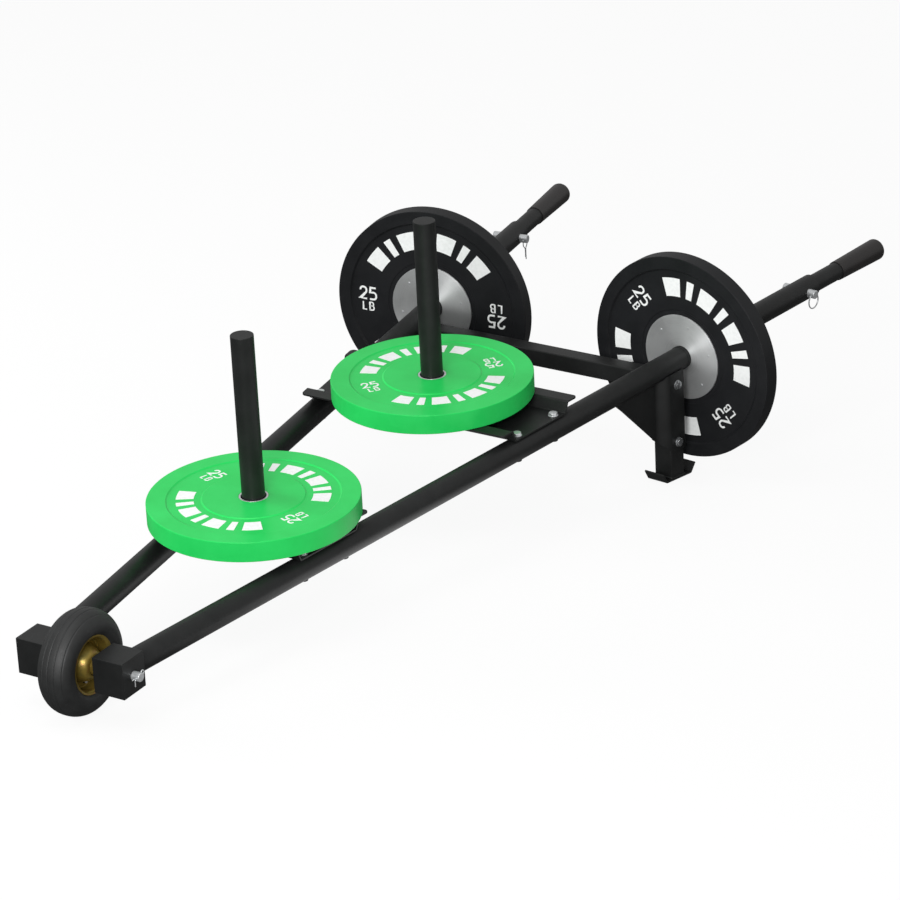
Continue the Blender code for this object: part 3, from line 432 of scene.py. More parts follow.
# %% Rounded outlines, sheets, turning and sweeping
def rounded(corners, radii, steps=5, closed=True):
    """An outline with an arc at each corner. The arc's centre is radius / sin(half angle) away on
    the bisector, and its points turn evenly from one edge to the next. A radius of 0 keeps the corner."""
    here = np.array(corners, float)
    radii = np.broadcast_to(np.asarray(radii, float), len(here)).copy()
    if not closed:
        radii[[0, -1]] = 0.0
    back, ahead = unit(np.roll(here, 1, 0) - here), unit(np.roll(here, -1, 0) - here)
    half = np.arccos(np.clip((back * ahead).sum(1), -1, 1)) / 2
    share = np.linspace(0, 1, steps + 1)[:, None]
    outline = []
    for i, radius in enumerate(radii):
        if radius == 0:
            outline.append(here[i : i + 1])
            continue
        centre = here[i] + unit(back[i] + ahead[i]) * radius / np.sin(half[i])
        start = here[i] + back[i] * radius / np.tan(half[i]) - centre
        end = here[i] + ahead[i] * radius / np.tan(half[i]) - centre
        sweep = pi - 2 * half[i]
        arc = start * np.sin((1 - share) * sweep) + end * np.sin(share * sweep)
        outline.append(centre + arc / np.sin(sweep))
    return np.vstack(outline)


def sheet_outline(line, thickness):
    """Both faces of a sheet whose middle is a line: each point moved half the thickness along
    plus and minus its normal, and the second face run backwards."""
    along = unit(np.gradient(line, axis=0))
    normal = np.stack([-along[:, 1], along[:, 0]], -1)
    turn = unit(np.diff(line, axis=0))
    cos_half = np.ones(len(line))
    cos_half[1:-1] = np.sqrt((1 + (turn[:-1] * turn[1:]).sum(1)) / 2)
    offset = normal * (thickness / 2 / cos_half)[:, None]
    return np.vstack([line + offset, (line - offset)[::-1]])


def bar_profile(radius, start, end, start_edge, end_edge):
    """A solid bar's outline from start to end along its axis, with the edge of each end rounded."""
    corners = [(0, start), (radius, start), (radius, end), (0, end)]
    return rounded(corners, (0, start_edge, end_edge, 0), closed=False)[1:-1]


def ring_profile(inner, outer, low, high, edge, steps=3):
    """The closed outline of a ring's wall, with all four edges rounded."""
    return rounded([(inner, low), (outer, low), (outer, high), (inner, high)], edge, steps)


def mirrored(half):
    """A profile of (radius, height) points, followed by its image below the middle."""
    return np.vstack([half, (half * (1, -1))[::-1]])


def turned(profile, base, sides=96):
    """Surface of revolution about a frame's Z: x = r cos a, y = r sin a, z = h."""
    angle = 2 * pi * np.arange(sides) / sides
    radius, height = np.asarray(profile, float).T[:, :, None]
    grid = np.stack([radius * np.cos(angle), radius * np.sin(angle), height + 0 * angle], -1)
    return placed(grid, base)


def circle(radius, sides):
    """Points (r cos a, r sin a), evenly once round."""
    angle = 2 * pi * np.arange(sides) / sides
    return np.stack([np.cos(angle), np.sin(angle)], -1) * radius


def swept(path, section, normal, closed=False):
    """A section (u, v) carried along a path: point + u * side + v * top, where side is the path's
    direction crossed with a fixed normal, and top is square to both."""
    if closed:
        ahead = np.roll(path, -1, 0) - np.roll(path, 1, 0)
    else:
        ahead = np.gradient(path, axis=0)
    ahead = unit(ahead)
    side = unit(np.cross(ahead, normal))
    top = np.cross(side, ahead)
    section = np.asarray(section, float)
    return path[:, None] + section[..., 0:1] * side[:, None] + section[..., 1:2] * top[:, None]


def length_along(path):
    """How far each point lies along a path: the sum of the steps up to it."""
    return np.concatenate([[0.0], np.cumsum(np.linalg.norm(np.diff(path, axis=0), axis=1))])


def weld_bead(path, radius, normal, closed=False, pitch=0.0035):
    """A weld run: a round bead whose radius swells and falls by a tenth once every pitch."""
    swell = 1 + 0.1 * np.sin(2 * pi * length_along(path) / pitch)
    section = circle(radius, 12) * swell[:, None, None]
    return skin(swept(path, section, normal, closed), wrap=closed)


def resampled(path, spacing, closed=False):
    """The same path with points a fixed distance apart, by interpolation over its length."""
    if closed:
        path = np.vstack([path, path[:1]])
    run = length_along(path)
    count = max(4, int(round(run[-1] / spacing)))
    at = np.linspace(0, run[-1], count + 1)
    if closed:
        at = at[:-1]
    return np.stack([np.interp(at, run, path[:, i]) for i in range(3)], -1)


def closed_bead(seam, radius, normal):
    """A weld run all the way round a closed seam, drawn with a point every 1.2 mm."""
    return weld_bead(resampled(seam, 0.0012, closed=True), radius, normal, closed=True)


# %% [markdown]
# ## Tyre
#
# An eight inch tyre with a round, balloon-like crown. The crown is a superellipse, which stays
# flatter in the middle than a circle. Three fine grooves and two shoulder lines run round it, cut
# into the profile so that they catch light as real grooves do.

# %% Tyre
TYRE_RADIUS, TYRE_HALF_WIDTH, TYRE_RISE = 0.1028, 0.0360, 0.0276
BEAD_RADIUS, BEAD_X = 0.0562, 0.0288
TYRE_INNER_RADIUS, TYRE_INNER_X = 0.0530, 0.0262
GROOVES = ((0.0, 0.0008, 0.0011), (0.0125, 0.0008, 0.0011), (0.0272, 0.0006, 0.0010))


def tyre_profile():
    """Half the outline, as (radius, x): crown r = base + rise cos t, x = half width sin(t)^(1 / 1.1),
    then a cubic Bezier down the sidewall to the bead, less a bell-shaped groove at each groove's x."""
    t = np.linspace(0, pi / 2, 120)
    base = TYRE_RADIUS - TYRE_RISE
    crown = np.stack([base + TYRE_RISE * np.cos(t), TYRE_HALF_WIDTH * np.sin(t) ** (1 / 1.1)], -1)
    s = np.linspace(0, 1, 40)[1:, None]
    start, end = crown[-1], np.array([BEAD_RADIUS, BEAD_X])
    pull = start - (0.0105, 0.0), end + (0.0050, 0.0058)
    wall = start * (1 - s) ** 3 + end * s**3
    wall += pull[0] * 3 * s * (1 - s) ** 2 + pull[1] * 3 * s**2 * (1 - s)
    line = np.vstack([crown, wall])
    run = length_along(line)
    at = np.linspace(0, run[-1], 170)
    line = np.stack([np.interp(at, run, line[:, 0]), np.interp(at, run, line[:, 1])], -1)
    along = unit(np.gradient(line, axis=0))
    inward = np.stack([-along[:, 1], along[:, 0]], -1)
    depth = sum(d * np.exp(-(((line[:, 1] - x) / w) ** 4)) for x, d, w in GROOVES)
    on_tread = line[:, 0] > base + 0.002
    return line + inward * (depth * on_tread)[:, None]


wheel_frame = aimed(chassis, axis="x")
half_tyre = tyre_profile()
tyre_inside = [(TYRE_INNER_RADIUS, -TYRE_INNER_X), (TYRE_INNER_RADIUS, TYRE_INNER_X)]
tyre_ring = np.vstack([half_tyre[::-1], half_tyre[1:] * (1, -1), tyre_inside])
shells = [skin(turned(tyre_ring, wheel_frame, 160), wrap=True)]
build("tyre_ribbed", shells, "tyre", tyre_rubber, "wheel")

# %% [markdown]
# ## Rim
#
# The rim is two pressings of thin steel, back to back: a rolled lip, a barrel, a flat web and a
# wide dome that bulges out towards the axle block. Each is one bent sheet, turned about the axle.
# A valve stem stands in the web.

# %% Rim halves and valve
RIM_SHEET, WEB_X = 0.0022, 0.0016
DOME_RADIUS, DOME_TOP_RADIUS, DOME_RISE = 0.0385, 0.0196, 0.0318


def rim_line():
    """Middle of the pressed sheet from lip to hub: lip, barrel, web, and a dome whose radius falls
    evenly while it rises as a sine of a quarter turn to the power of 0.9."""
    share = np.linspace(0, 1, 20)
    radius = DOME_RADIUS + (DOME_TOP_RADIUS - DOME_RADIUS) * share
    dome = np.stack([radius, WEB_X + DOME_RISE * np.sin(pi / 2 * share) ** 0.9], -1)
    lip = [(0.0572, 0.0297), (0.0553, 0.0297), (0.0515, 0.0262), (0.0515, WEB_X)]
    outside = rounded([*lip, dome[0]], (0, 0.002, 0.004, 0.004, 0), closed=False)
    return np.vstack([outside[:-1], dome])


rim_sheet = sheet_outline(rim_line(), RIM_SHEET)
for side, sign in SIDES.items():
    rim = turned(rim_sheet * (1, sign), wheel_frame, 128)
    build(f"rim_pressing_{side}", [skin(rim, wrap=True)], "rim_" + side, yellow_zinc, "wheel")

VALVE_X, VALVE_RADIUS, VALVE_TURN = 0.0026, 0.0405, np.radians(-88)
valve_spot = (VALVE_X, VALVE_RADIUS * np.cos(VALVE_TURN), VALVE_RADIUS * np.sin(VALVE_TURN))
valve_frame = aimed(chassis, valve_spot, "x")
stem_corners = [(0.0040, 0), (0.0040, 0.0012), (0.0026, 0.0022), (0.0026, 0.0034)]
cap_corners = [(0.0030, 0.0032), (0.0033, 0.0032), (0.0033, 0.0062), (0.0014, 0.0068)]
valve_stem = rounded(stem_corners, 0.0005, closed=False)
valve_cap = rounded(cap_corners, 0.0005, closed=False)
build("valve_stem", [skin(turned(valve_stem, valve_frame, 32))], finish=tyre_rubber, body="wheel")
build("valve_cap", [skin(turned(valve_cap, valve_frame, 32))], finish=bright_zinc, body="wheel")

# %% [markdown]
# ## Axle, its blocks and the split pins
#
# The axle is a plain bar through two closed square blocks. Outside each block a split pin keeps it
# in: a half-round wire folded over, pushed through a hole, with one leg bent down. It is a round
# section carried along a path that goes up one leg, round the eye and down the other.

# %% Axle and blocks
AXLE_RADIUS, AXLE_HALF, AXLE_PLAY = 0.0090, 0.1380, 0.0004
BLOCK_INNER_X, BLOCK_OUTER_X, BLOCK_DEPTH, BLOCK_HEIGHT = 0.0532, 0.1213, 0.0670, 0.0727

axle_line = bar_profile(AXLE_RADIUS, AXLE_HALF, -AXLE_HALF, 0.0012, 0.0012)
build("axle_bar", [skin(turned(axle_line, wheel_frame, 64))], "axle", bright_zinc)


def square_round_bore(half_y, half_z, bore, count=96):
    """Two rings with matching points: a rectangle, r = half / max(|cos|, |sin|), and a circle."""
    angle = 2 * pi * np.arange(count) / count
    cos, sin = np.cos(angle), np.sin(angle)
    reach = 1 / np.maximum(abs(cos), abs(sin))
    rectangle = np.stack([half_y * cos * reach, half_z * sin * reach], -1)
    return rectangle, np.stack([bore * cos, bore * sin], -1)


box_ring, hole_ring = square_round_bore(BLOCK_DEPTH / 2, BLOCK_HEIGHT / 2, AXLE_RADIUS + AXLE_PLAY)
walls = [(BLOCK_INNER_X, hole_ring), (BLOCK_INNER_X, box_ring)]
walls += [(BLOCK_OUTER_X, box_ring), (BLOCK_OUTER_X, hole_ring)]
for side, sign in SIDES.items():
    rings = [np.insert(outline, 0, sign * x, axis=1) for x, outline in walls]
    shells = [skin(placed(np.array(rings), chassis), wrap=True)]
    build(f"block_{side}", shells, "axle_block_" + side, bevel=0.0009)

# %% Split pins
PIN_WIRE, PIN_EYE, PIN_TURN = 0.0011, 0.0042, np.radians(78)
PIN_LEG_X, PIN_X = 0.00115, BLOCK_OUTER_X + 0.0095
TAIL_STRAIGHT, TAIL_BENT = 0.0075, 0.0100
pin_direction = np.array([0, np.sin(PIN_TURN), np.cos(PIN_TURN)])
pin_across = np.array([0, -np.cos(PIN_TURN), np.sin(PIN_TURN)])


def split_pin_path():
    """Path in the pin's own plane as (across, along): one leg straight, the eye a round loop of
    nearly a full turn, the other leg bent over past the axle."""
    turn = np.linspace(-0.36 * pi, 1.36 * pi, 26)
    neck = AXLE_RADIUS + 0.0008
    eye = np.stack([PIN_EYE * np.cos(turn), neck + PIN_EYE * 0.95 + PIN_EYE * np.sin(turn)], -1)
    down = -AXLE_RADIUS - 0.0015
    straight = [(0.0040, down - TAIL_STRAIGHT), (PIN_LEG_X, down), (PIN_LEG_X, neck)]
    bent = [(-PIN_LEG_X, neck), (-PIN_LEG_X, down), (-0.0035 - TAIL_BENT, down - 0.0030)]
    first = rounded(straight, 0.004, closed=False)
    second = rounded(bent, 0.0022, closed=False)
    return np.vstack([first, eye, second])


flat = split_pin_path()
for side, sign in SIDES.items():
    path = np.array([sign * PIN_X, 0, 0]) + flat[:, :1] * pin_across + flat[:, 1:] * pin_direction
    path = resampled(placed(path, chassis), 0.0008)
    wire = swept(path, circle(PIN_WIRE, 12), chassis[:3, 0])
    build(f"cotter_{side}", [skin(wire)], "split_pin_" + side, bright_zinc)

# %% [markdown]
# ## Long tubes
#
# Each rail is one straight tube from its block to the end of its plate sleeve. The front end is
# cut on the slant, so that it meets the flat back of the block, and welded there. The cut is a
# formula: every line of the tube runs forward until it meets the block's back plane. Where two
# pieces touch, the solids leave a hair's breadth between them, and the scene leaves the same.

# %% Rails
RAIL_RADIUS, RAIL_INNER, RAIL_END, RAIL_EDGE = 0.0245, 0.0203, 2.203, 0.0008
CLEARANCE = 0.0003
BLOCK_BACK = BLOCK_DEPTH / 2 + CLEARANCE


def rail_front(ring, sign):
    """Where a line of the tube at lateral offset x meets the block's back: (d + x sin a) / cos a."""
    return (BLOCK_BACK + sign * ring[:, 0] * np.sin(RAIL_SPLAY)) / np.cos(RAIL_SPLAY)


def tube_rings(sign):
    """Rings of the tube's wall: outside from front to back over a broken edge, inside back again."""
    edge = RAIL_EDGE
    front_rings = [circle(radius, 96) for radius in (RAIL_RADIUS, RAIL_INNER)]
    slants = [np.insert(ring, 1, rail_front(ring, sign), axis=1) for ring in front_rings]
    stations = [(RAIL_RADIUS, RAIL_END * part) for part in (0.2, 0.4, 0.6, 0.8)]
    stations += [(RAIL_RADIUS, RAIL_END - edge), (RAIL_RADIUS - edge * 0.3, RAIL_END - edge * 0.3)]
    stations += [(RAIL_RADIUS - edge, RAIL_END), (RAIL_INNER + edge * 0.5, RAIL_END)]
    stations += [(RAIL_INNER, RAIL_END - edge * 0.5)]
    rows = [np.insert(circle(radius, 96), 1, y, axis=1) for radius, y in stations]
    return np.array([slants[0], *rows, slants[1]])


for side, sign in SIDES.items():
    grid = placed(tube_rings(sign), rails[side])
    bead = closed_bead(grid[0], 0.0026, chassis[:3, 1])
    build(f"long_tube_{side}", [skin(grid, wrap=True), bead], "rail_" + side)

# %% Collars that stop the side plates
SIDE_PLATE_S = 1.7258
COLLAR_INNER, COLLAR_RADIUS, COLLAR_WIDTH = 0.0246, 0.0254, 0.006
collar = ring_profile(COLLAR_INNER, COLLAR_RADIUS, -COLLAR_WIDTH, 0, 0.0003)
for side in SIDES:
    collar_frame = aimed(rails[side], (0, SIDE_PLATE_S - CLEARANCE, 0), "y")
    build(f"stop_ring_{side}", [skin(turned(collar, collar_frame), wrap=True)], "stop_collar_" + side)

# %% [markdown]
# ## Crossmembers and posts
#
# A crossmember is a hat section: one sheet bent four times, walls leaning and lips outwards. Its
# ends are cut parallel to the rails and the lips' corners are rounded. The section is carried
# straight across, and each of its points stops where that cut is.

# %% Crossmembers
HAT_BASE_Z, HAT_HEIGHT, HAT_SHEET, HAT_LIP = 0.0248, 0.0273, 0.0035, 0.0295
HAT_BASE_HALF, HAT_TOP_HALF = 0.0790, 0.0874
HAT_OVERHANG, HAT_CORNER = 0.0142, 0.0100
HAT_SLOPE = (HAT_TOP_HALF - HAT_BASE_HALF) / (HAT_HEIGHT - HAT_SHEET)
HAT_ACROSS = HAT_SHEET * np.hypot(1, HAT_SLOPE)
HAT_REACH = HAT_TOP_HALF + HAT_ACROSS + HAT_LIP
POSTS, POST_BEHIND_MIDDLE = {"front": 0.5752, "rear": 1.2255}, 0.0040
HAT_MIDDLES = {label: y - POST_BEHIND_MIDDLE for label, y in POSTS.items()}


def rail_x(y):
    """Distance of a rail's axis from the middle, at a distance behind the axle."""
    return RAIL_X_AT_AXLE + y * np.tan(RAIL_SPLAY)


def hat_grid(y_middle):
    """The section's points (y, z), each carried from -x to x, where x is the rail's place at that y
    plus the overhang, less the rounding of the lip: r - sqrt(r^2 - (r - d)^2) at d from its edge."""
    half = HAT_SHEET / 2
    shift = HAT_ACROSS / 2 - half * HAT_SLOPE
    low, high = HAT_BASE_HALF + shift, HAT_TOP_HALF + shift
    right = [(low, half), (high, HAT_HEIGHT - half), (HAT_REACH, HAT_HEIGHT - half)]
    left = [(-y, z) for y, z in reversed(right)]
    bends = rounded(left + right, 0.0042, steps=7, closed=False)
    lip = np.stack([np.linspace(0, 1, 8) ** 2 * 0.012, np.zeros(8)], -1)
    start, end = bends[0] + lip, bends[-1] - lip[::-1]
    line = np.vstack([start, bends[1:-1], end])
    outline = sheet_outline(line, HAT_SHEET)
    inside = np.clip(HAT_REACH - abs(outline[:, 0]), 0, HAT_CORNER)
    rounding = HAT_CORNER - np.sqrt(HAT_CORNER**2 - (HAT_CORNER - inside) ** 2)
    reach = rail_x(y_middle + outline[:, 0]) + HAT_OVERHANG / np.cos(RAIL_SPLAY) - rounding
    y, z = y_middle + outline[:, 0], HAT_BASE_Z + outline[:, 1]
    rows = [np.column_stack([share * reach, y, z]) for share in (-1, -0.5, 0, 0.5, 1)]
    return placed(np.array(rows), chassis)


for label, y in HAT_MIDDLES.items():
    build(f"hat_sheet_{label}", [skin(hat_grid(y), strip=True)], label + "_crossmember", bevel=0.0005)

# %% Posts with a closed top and a weld round the foot
POST_RADIUS, POST_HEIGHT = 0.0230, 0.4040
HAT_SEAT = HAT_BASE_Z + HAT_SHEET + CLEARANCE
post_line = bar_profile(POST_RADIUS, 0, POST_HEIGHT, 0.0005, 0.0012)
for label, y in POSTS.items():
    post_frame = aimed(chassis, (0, y, HAT_SEAT))
    foot_seam = placed(np.insert(circle(POST_RADIUS, 120), 2, 0.0018, axis=1), post_frame)
    shells = [skin(turned(post_line, post_frame)), weld_bead(foot_seam, 0.0024, up, closed=True)]
    build(f"plate_post_{label}", shells, label + "_post")

# %% [markdown]
# ## Hexagon bolts
#
# A bolt head is a hexagon cut by a shallow cone, which leaves the curved chamfer lines. The radius
# at an angle is that of the hexagon, or that of the cone if it is smaller, so one formula draws
# flats, corners and chamfer. A thin washer lies under the head. The ends under the rails are low
# black caps. The heads stand at different turns, because nobody lines them up.

# %% Bolts
BOLT_FLATS, BOLT_HEAD, BOLT_CHAMFER, BOLT_RADIUS = 0.0165, 0.0054, 0.0012, 0.0050
CONE_TOP_SHARE, CONE_SLOPE = 0.97, 1.7
WASHER_BORE, WASHER_RADIUS, WASHER = 0.0046, 0.0105, 0.0014


def hexagon_rings(flats, low, high, chamfer, sides=72):
    """Rings of a nut or head: r = min(flats / 2 / cos(angle in its sixth), cone radius at z)."""
    angle = 2 * pi * np.arange(sides) / sides
    sixth = (angle + pi / 6) % (pi / 3) - pi / 6
    flat_radius = flats / 2 / np.cos(sixth)
    rows = []
    for z in (low, *(high - share * chamfer for share in (1, 0.75, 0.5, 0.25, 0))):
        cone = flats / 2 * CONE_TOP_SHARE + (high - z) * CONE_SLOPE
        radius = np.minimum(flat_radius, cone) if z > low else flat_radius
        rows.append(np.stack([radius * np.cos(angle), radius * np.sin(angle), np.full(sides, z)], -1))
    return np.array(rows)


def bolt_shells(base, head_seat, tail):
    """Washer, head and shank along Z, from the seat upwards and down to the tail."""
    washer = ring_profile(WASHER_BORE, WASHER_RADIUS, head_seat, head_seat + WASHER, 0.0003, steps=2)
    under = head_seat + WASHER
    head = hexagon_rings(BOLT_FLATS, under, under + BOLT_HEAD, BOLT_CHAMFER)
    shank = [(BOLT_RADIUS, head_seat + 0.002), (BOLT_RADIUS, tail + 0.0006), (BOLT_RADIUS - 0.0006, tail)]
    return [
        skin(turned(washer, base, 64), wrap=True),
        skin(placed(head, base)),
        skin(turned(shank, base, 32)),
    ]


BOLT_OFFSET, BOLT_TAIL = 0.0586, 0.0020
CAP_RADIUS, CAP_DEPTH = 0.0082, 0.0036
RAIL_UNDERSIDE = -RAIL_RADIUS - CLEARANCE
end_cap = bar_profile(CAP_RADIUS, RAIL_UNDERSIDE + 0.0004, RAIL_UNDERSIDE - CAP_DEPTH, 0, 0.0024)
caps = []
for label, y_middle in HAT_MIDDLES.items():
    for side, sign in SIDES.items():
        for end, offset in (("front", -BOLT_OFFSET), ("back", BOLT_OFFSET)):
            y = y_middle + offset
            turn = np.radians(17 + 31 * sign + 400 * offset)
            base = aimed(chassis, (sign * rail_x(y), y, 0), turn=turn)
            caps.append(skin(turned(end_cap, base, 48)))
            shells = bolt_shells(base, HAT_SEAT, RAIL_UNDERSIDE - BOLT_TAIL)
            build(f"hex_bolt_{label}_{end}_{side}", shells, f"{label}_bolt_{end}_{side}", bright_zinc)
build("bolt_end_caps", caps)

# %% [markdown]
# ## Legs, brackets and feet
#
# A square leg hangs under each rail. Two plates hold it. They lie against each other in front as
# one gusset with a 45 degree edge, then each sweeps outwards in a soft S and runs along its side of
# the leg. Seen from above the plate is a line, half a cosine wave wide, with a thickness.

# %% Legs
LEG_S, LEG_HALF = 1.6770, 0.0225
LEG_TOP, LEG_FOOT, LEG_WALL = RAIL_UNDERSIDE, 0.0043, 0.0030
BRACKET_SHEET, BRACKET_FRONT, BRACKET_BEND, BRACKET_HEIGHT = 0.0035, 1.4934, 0.0270, 0.1655
BRACKET_BEAD_X, BRACKET_BEAD_END = 0.0062, 1.627
CHEEK_TOP = -0.0100


def square_ring(half, corner):
    """A square outline of so much half width, with rounded corners."""
    return rounded([(half, half), (-half, half), (-half, -half), (half, -half)], corner)


def drop_to_ground(flat, base, height):
    """The z of each (x, y) point at which a frame's vertical line reaches a height above the ground."""
    level = base[2, 3] + flat @ base[2, :2]
    return (height - level) / base[2, 2]


outer = square_ring(LEG_HALF, 0.0030) + (0, LEG_S)
inner = square_ring(LEG_HALF - LEG_WALL, 0.0008) + (0, LEG_S)
for side in SIDES:
    low_outer, low_inner = (drop_to_ground(ring, rails[side], LEG_FOOT) for ring in (outer, inner))
    walls = ((outer, LEG_TOP), (outer, low_outer), (inner, low_inner), (inner, LEG_TOP))
    rings = [np.insert(ring, 2, z, axis=1) for ring, z in walls]
    tube = skin(placed(np.array(rings), rails[side]), wrap=True)
    bead = closed_bead(placed(rings[1] + (0, 0, 0.0012), rails[side]), 0.0022, (0, 0, 1))
    build(f"square_leg_{side}", [tube, bead], "leg_" + side)


# %% Brackets
def bracket_line():
    """Middle line of a plate seen from above, as (lateral, along): straight, a half cosine wave of
    the bend's length, straight again."""
    near, far = BRACKET_SHEET / 2 + 0.0002, LEG_HALF + CLEARANCE + BRACKET_SHEET / 2
    bend_end = LEG_S - LEG_HALF
    bend_start = bend_end - BRACKET_BEND
    t = np.linspace(0, 1, 22)
    bend = np.stack([near + (far - near) * (1 - np.cos(pi * t)) / 2, bend_start + BRACKET_BEND * t], -1)
    front = np.stack([np.full(14, near), np.linspace(BRACKET_FRONT + 0.002, bend_start, 15)[:-1]], -1)
    back = np.stack([np.full(9, far), np.linspace(bend_end, LEG_S + LEG_HALF, 10)[1:]], -1)
    return np.vstack([front, bend, back])


def bracket_grid(face, steepness):
    """Rings round the plate at each station of its line. The lower edge falls at about 45 degrees
    and then runs level: z = top - steepness s, limited smoothly at the plate's height. The upper
    edge is cut to the rail's round underside, z = -sqrt(r^2 - x^2), and ends beside it."""
    line = bracket_line()
    half = len(line)
    faces = sheet_outline(line, BRACKET_SHEET)
    one, other = faces[:half], faces[half:][::-1]
    fall = steepness * (line[:, 1] - BRACKET_FRONT)
    soft = 0.006
    drop = BRACKET_HEIGHT - soft * np.logaddexp(0, (BRACKET_HEIGHT - fall) / soft)
    low = LEG_TOP - np.clip(drop, 0.001, BRACKET_HEIGHT)
    tops = [-np.sqrt(np.maximum(LEG_TOP**2 - p[:, 0] ** 2, CHEEK_TOP**2)) for p in (one, other)]
    ring = [(one, tops[0]), (one, low), (other, low), (other, tops[1])]
    return np.stack([np.column_stack([face * p[:, 0], p[:, 1], z]) for p, z in ring], 1)


# The lower edge of the inner plate falls a little less, so that it ends behind the leg.
for side, sign in SIDES.items():
    for which, face, steepness in (("outer", sign, 1.0), ("inner", -sign, 0.92)):
        grid = placed(bracket_grid(face, steepness), rails[side])
        y = np.arange(BRACKET_FRONT + 0.004, BRACKET_BEAD_END, 0.0012)
        run = np.column_stack([0 * y + face * BRACKET_BEAD_X, y, 0 * y + LEG_TOP + 0.0012])
        bead = weld_bead(placed(run, rails[side]), 0.0021, up)
        shells = [skin(grid), bead]
        build(f"bracket_plate_{which}_{side}", shells, f"leg_bracket_{which}_{side}", bevel=0.0005)

# %% Leg bolts
LEG_BOLTS = (("top", LEG_TOP - 0.0132, 12), ("low", LEG_TOP - BRACKET_HEIGHT + 0.0203, 41))
LEG_BOLT_S = LEG_S - 0.002
bracket_face = LEG_HALF + CLEARANCE + BRACKET_SHEET
for side, sign in SIDES.items():
    for label, z, turn in LEG_BOLTS:
        base = aimed(rails[side], (0, LEG_BOLT_S, z), "x", turn=np.radians(turn))
        if sign < 0:
            base[:3, 1:3] *= -1
        shells = bolt_shells(base, bracket_face + CLEARANCE, -bracket_face)
        build(f"leg_screw_{label}_{side}", shells, f"leg_bolt_{label}_{side}", leg_bolt_zinc)

# %% Feet
FOOT_HALF, FOOT_WIDTH, FOOT_SHEET, FOOT_LIP = 0.0440, 0.0500, 0.0040, 0.0250
FOOT_LEAN = np.radians(33.5)
half, lean_sin, lean_cos = FOOT_SHEET / 2, np.sin(FOOT_LEAN), np.cos(FOOT_LEAN)
tip = (FOOT_HALF + FOOT_LIP * lean_sin - half, FOOT_LIP * lean_cos + half * lean_sin)
knee = (FOOT_HALF - half * lean_cos, half)
line = rounded([(-tip[0], tip[1]), (-knee[0], half), knee, tip], (0, 0.004, 0.004, 0), 6, closed=False)
outline = sheet_outline(line, FOOT_SHEET)
rings = [np.insert(outline, 0, share * FOOT_WIDTH / 2, axis=1) for share in (-1, 0, 1)]
for side in SIDES:
    low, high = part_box("foot_" + side)
    level_back = unit(rails[side][:3, 1] * (1, 1, 0))
    middle = ((low[0] + high[0]) / 2, (low[1] + high[1]) / 2, 0.0001)
    foot_frame = frame_from(middle, np.cross(level_back, (0, 0, 1)), level_back, (0, 0, 1))
    shells = [skin(placed(np.array(rings), foot_frame), strip=True)]
    build(f"foot_plate_{side}", shells, "foot_" + side, bevel=0.0006)

# %% [markdown]
# ## Crosstube and its gussets
#
# A square tube joins the legs. Its ends are cut parallel to the rails and welded to the brackets,
# and a triangular gusset stands under each end.

# %% Crosstube and gussets
TUBE_HALF, TUBE_WALL, TUBE_TOP = 0.0190, 0.0030, -0.0200
TUBE_BEHIND_LEGS = 0.0049
TUBE_Y = LEG_S * np.cos(RAIL_SPLAY) + TUBE_BEHIND_LEGS
END_GAP = (bracket_face + CLEARANCE) / np.cos(RAIL_SPLAY)


def tube_end(outline, sign, inset=0.0):
    """A section (y, z) as points whose x lies on the bracket's face at that y."""
    y = TUBE_Y + outline[:, 0]
    z = TUBE_TOP - TUBE_HALF + outline[:, 1]
    return np.column_stack([sign * (rail_x(y) - END_GAP - inset), y, z])


wall_out, wall_in = square_ring(TUBE_HALF, 0.0030), square_ring(TUBE_HALF - TUBE_WALL, 0.0008)
tube = [tube_end(wall_out, -1), tube_end(wall_out, 1), tube_end(wall_in, 1), tube_end(wall_in, -1)]
shells = [skin(placed(np.array(tube), chassis), wrap=True)]
for side, sign in SIDES.items():
    seam = placed(tube_end(wall_out, sign, 0.001), chassis)
    shells.append(closed_bead(seam, 0.0022, rails[side][:3, 0]))
build("square_crosstube", shells, "rear_crosstube")

GUSSET_REACH, GUSSET_HALF_SHEET, GUSSET_BEAD = 0.1090, 0.0025, 0.1
gusset_corners = [
    (0, 0),
    (-GUSSET_REACH, 0),
    (-GUSSET_REACH + 0.004, -0.005),
    (-0.006, -GUSSET_REACH + 0.002),
    (0, -GUSSET_REACH),
]
gusset_top = TUBE_TOP - 2 * TUBE_HALF - CLEARANCE
for side, sign in SIDES.items():
    rings = []
    for y in (TUBE_Y - GUSSET_HALF_SHEET, TUBE_Y + GUSSET_HALF_SHEET):
        edge = rail_x(y) - END_GAP
        x, z = (np.array(gusset_corners) + (edge, gusset_top)).T
        rings.append(np.column_stack([sign * x, np.full(len(x), y), z]))
    x = sign * np.arange(edge - GUSSET_BEAD, edge, 0.0012)
    run = np.column_stack([x, 0 * x + y + 0.001, 0 * x + gusset_top])
    shells = [skin(placed(np.array(rings), chassis)), weld_bead(placed(run, chassis), 0.0019, up)]
    build(f"gusset_plate_{side}", shells, "inner_gusset_" + side, bevel=0.0005)

# %% [markdown]
# ## Handles and grips
#
# A thinner tube slides in the back of each rail, held by the hitch pin, and carries a smooth
# rubber grip that flares a little towards its rounded end.

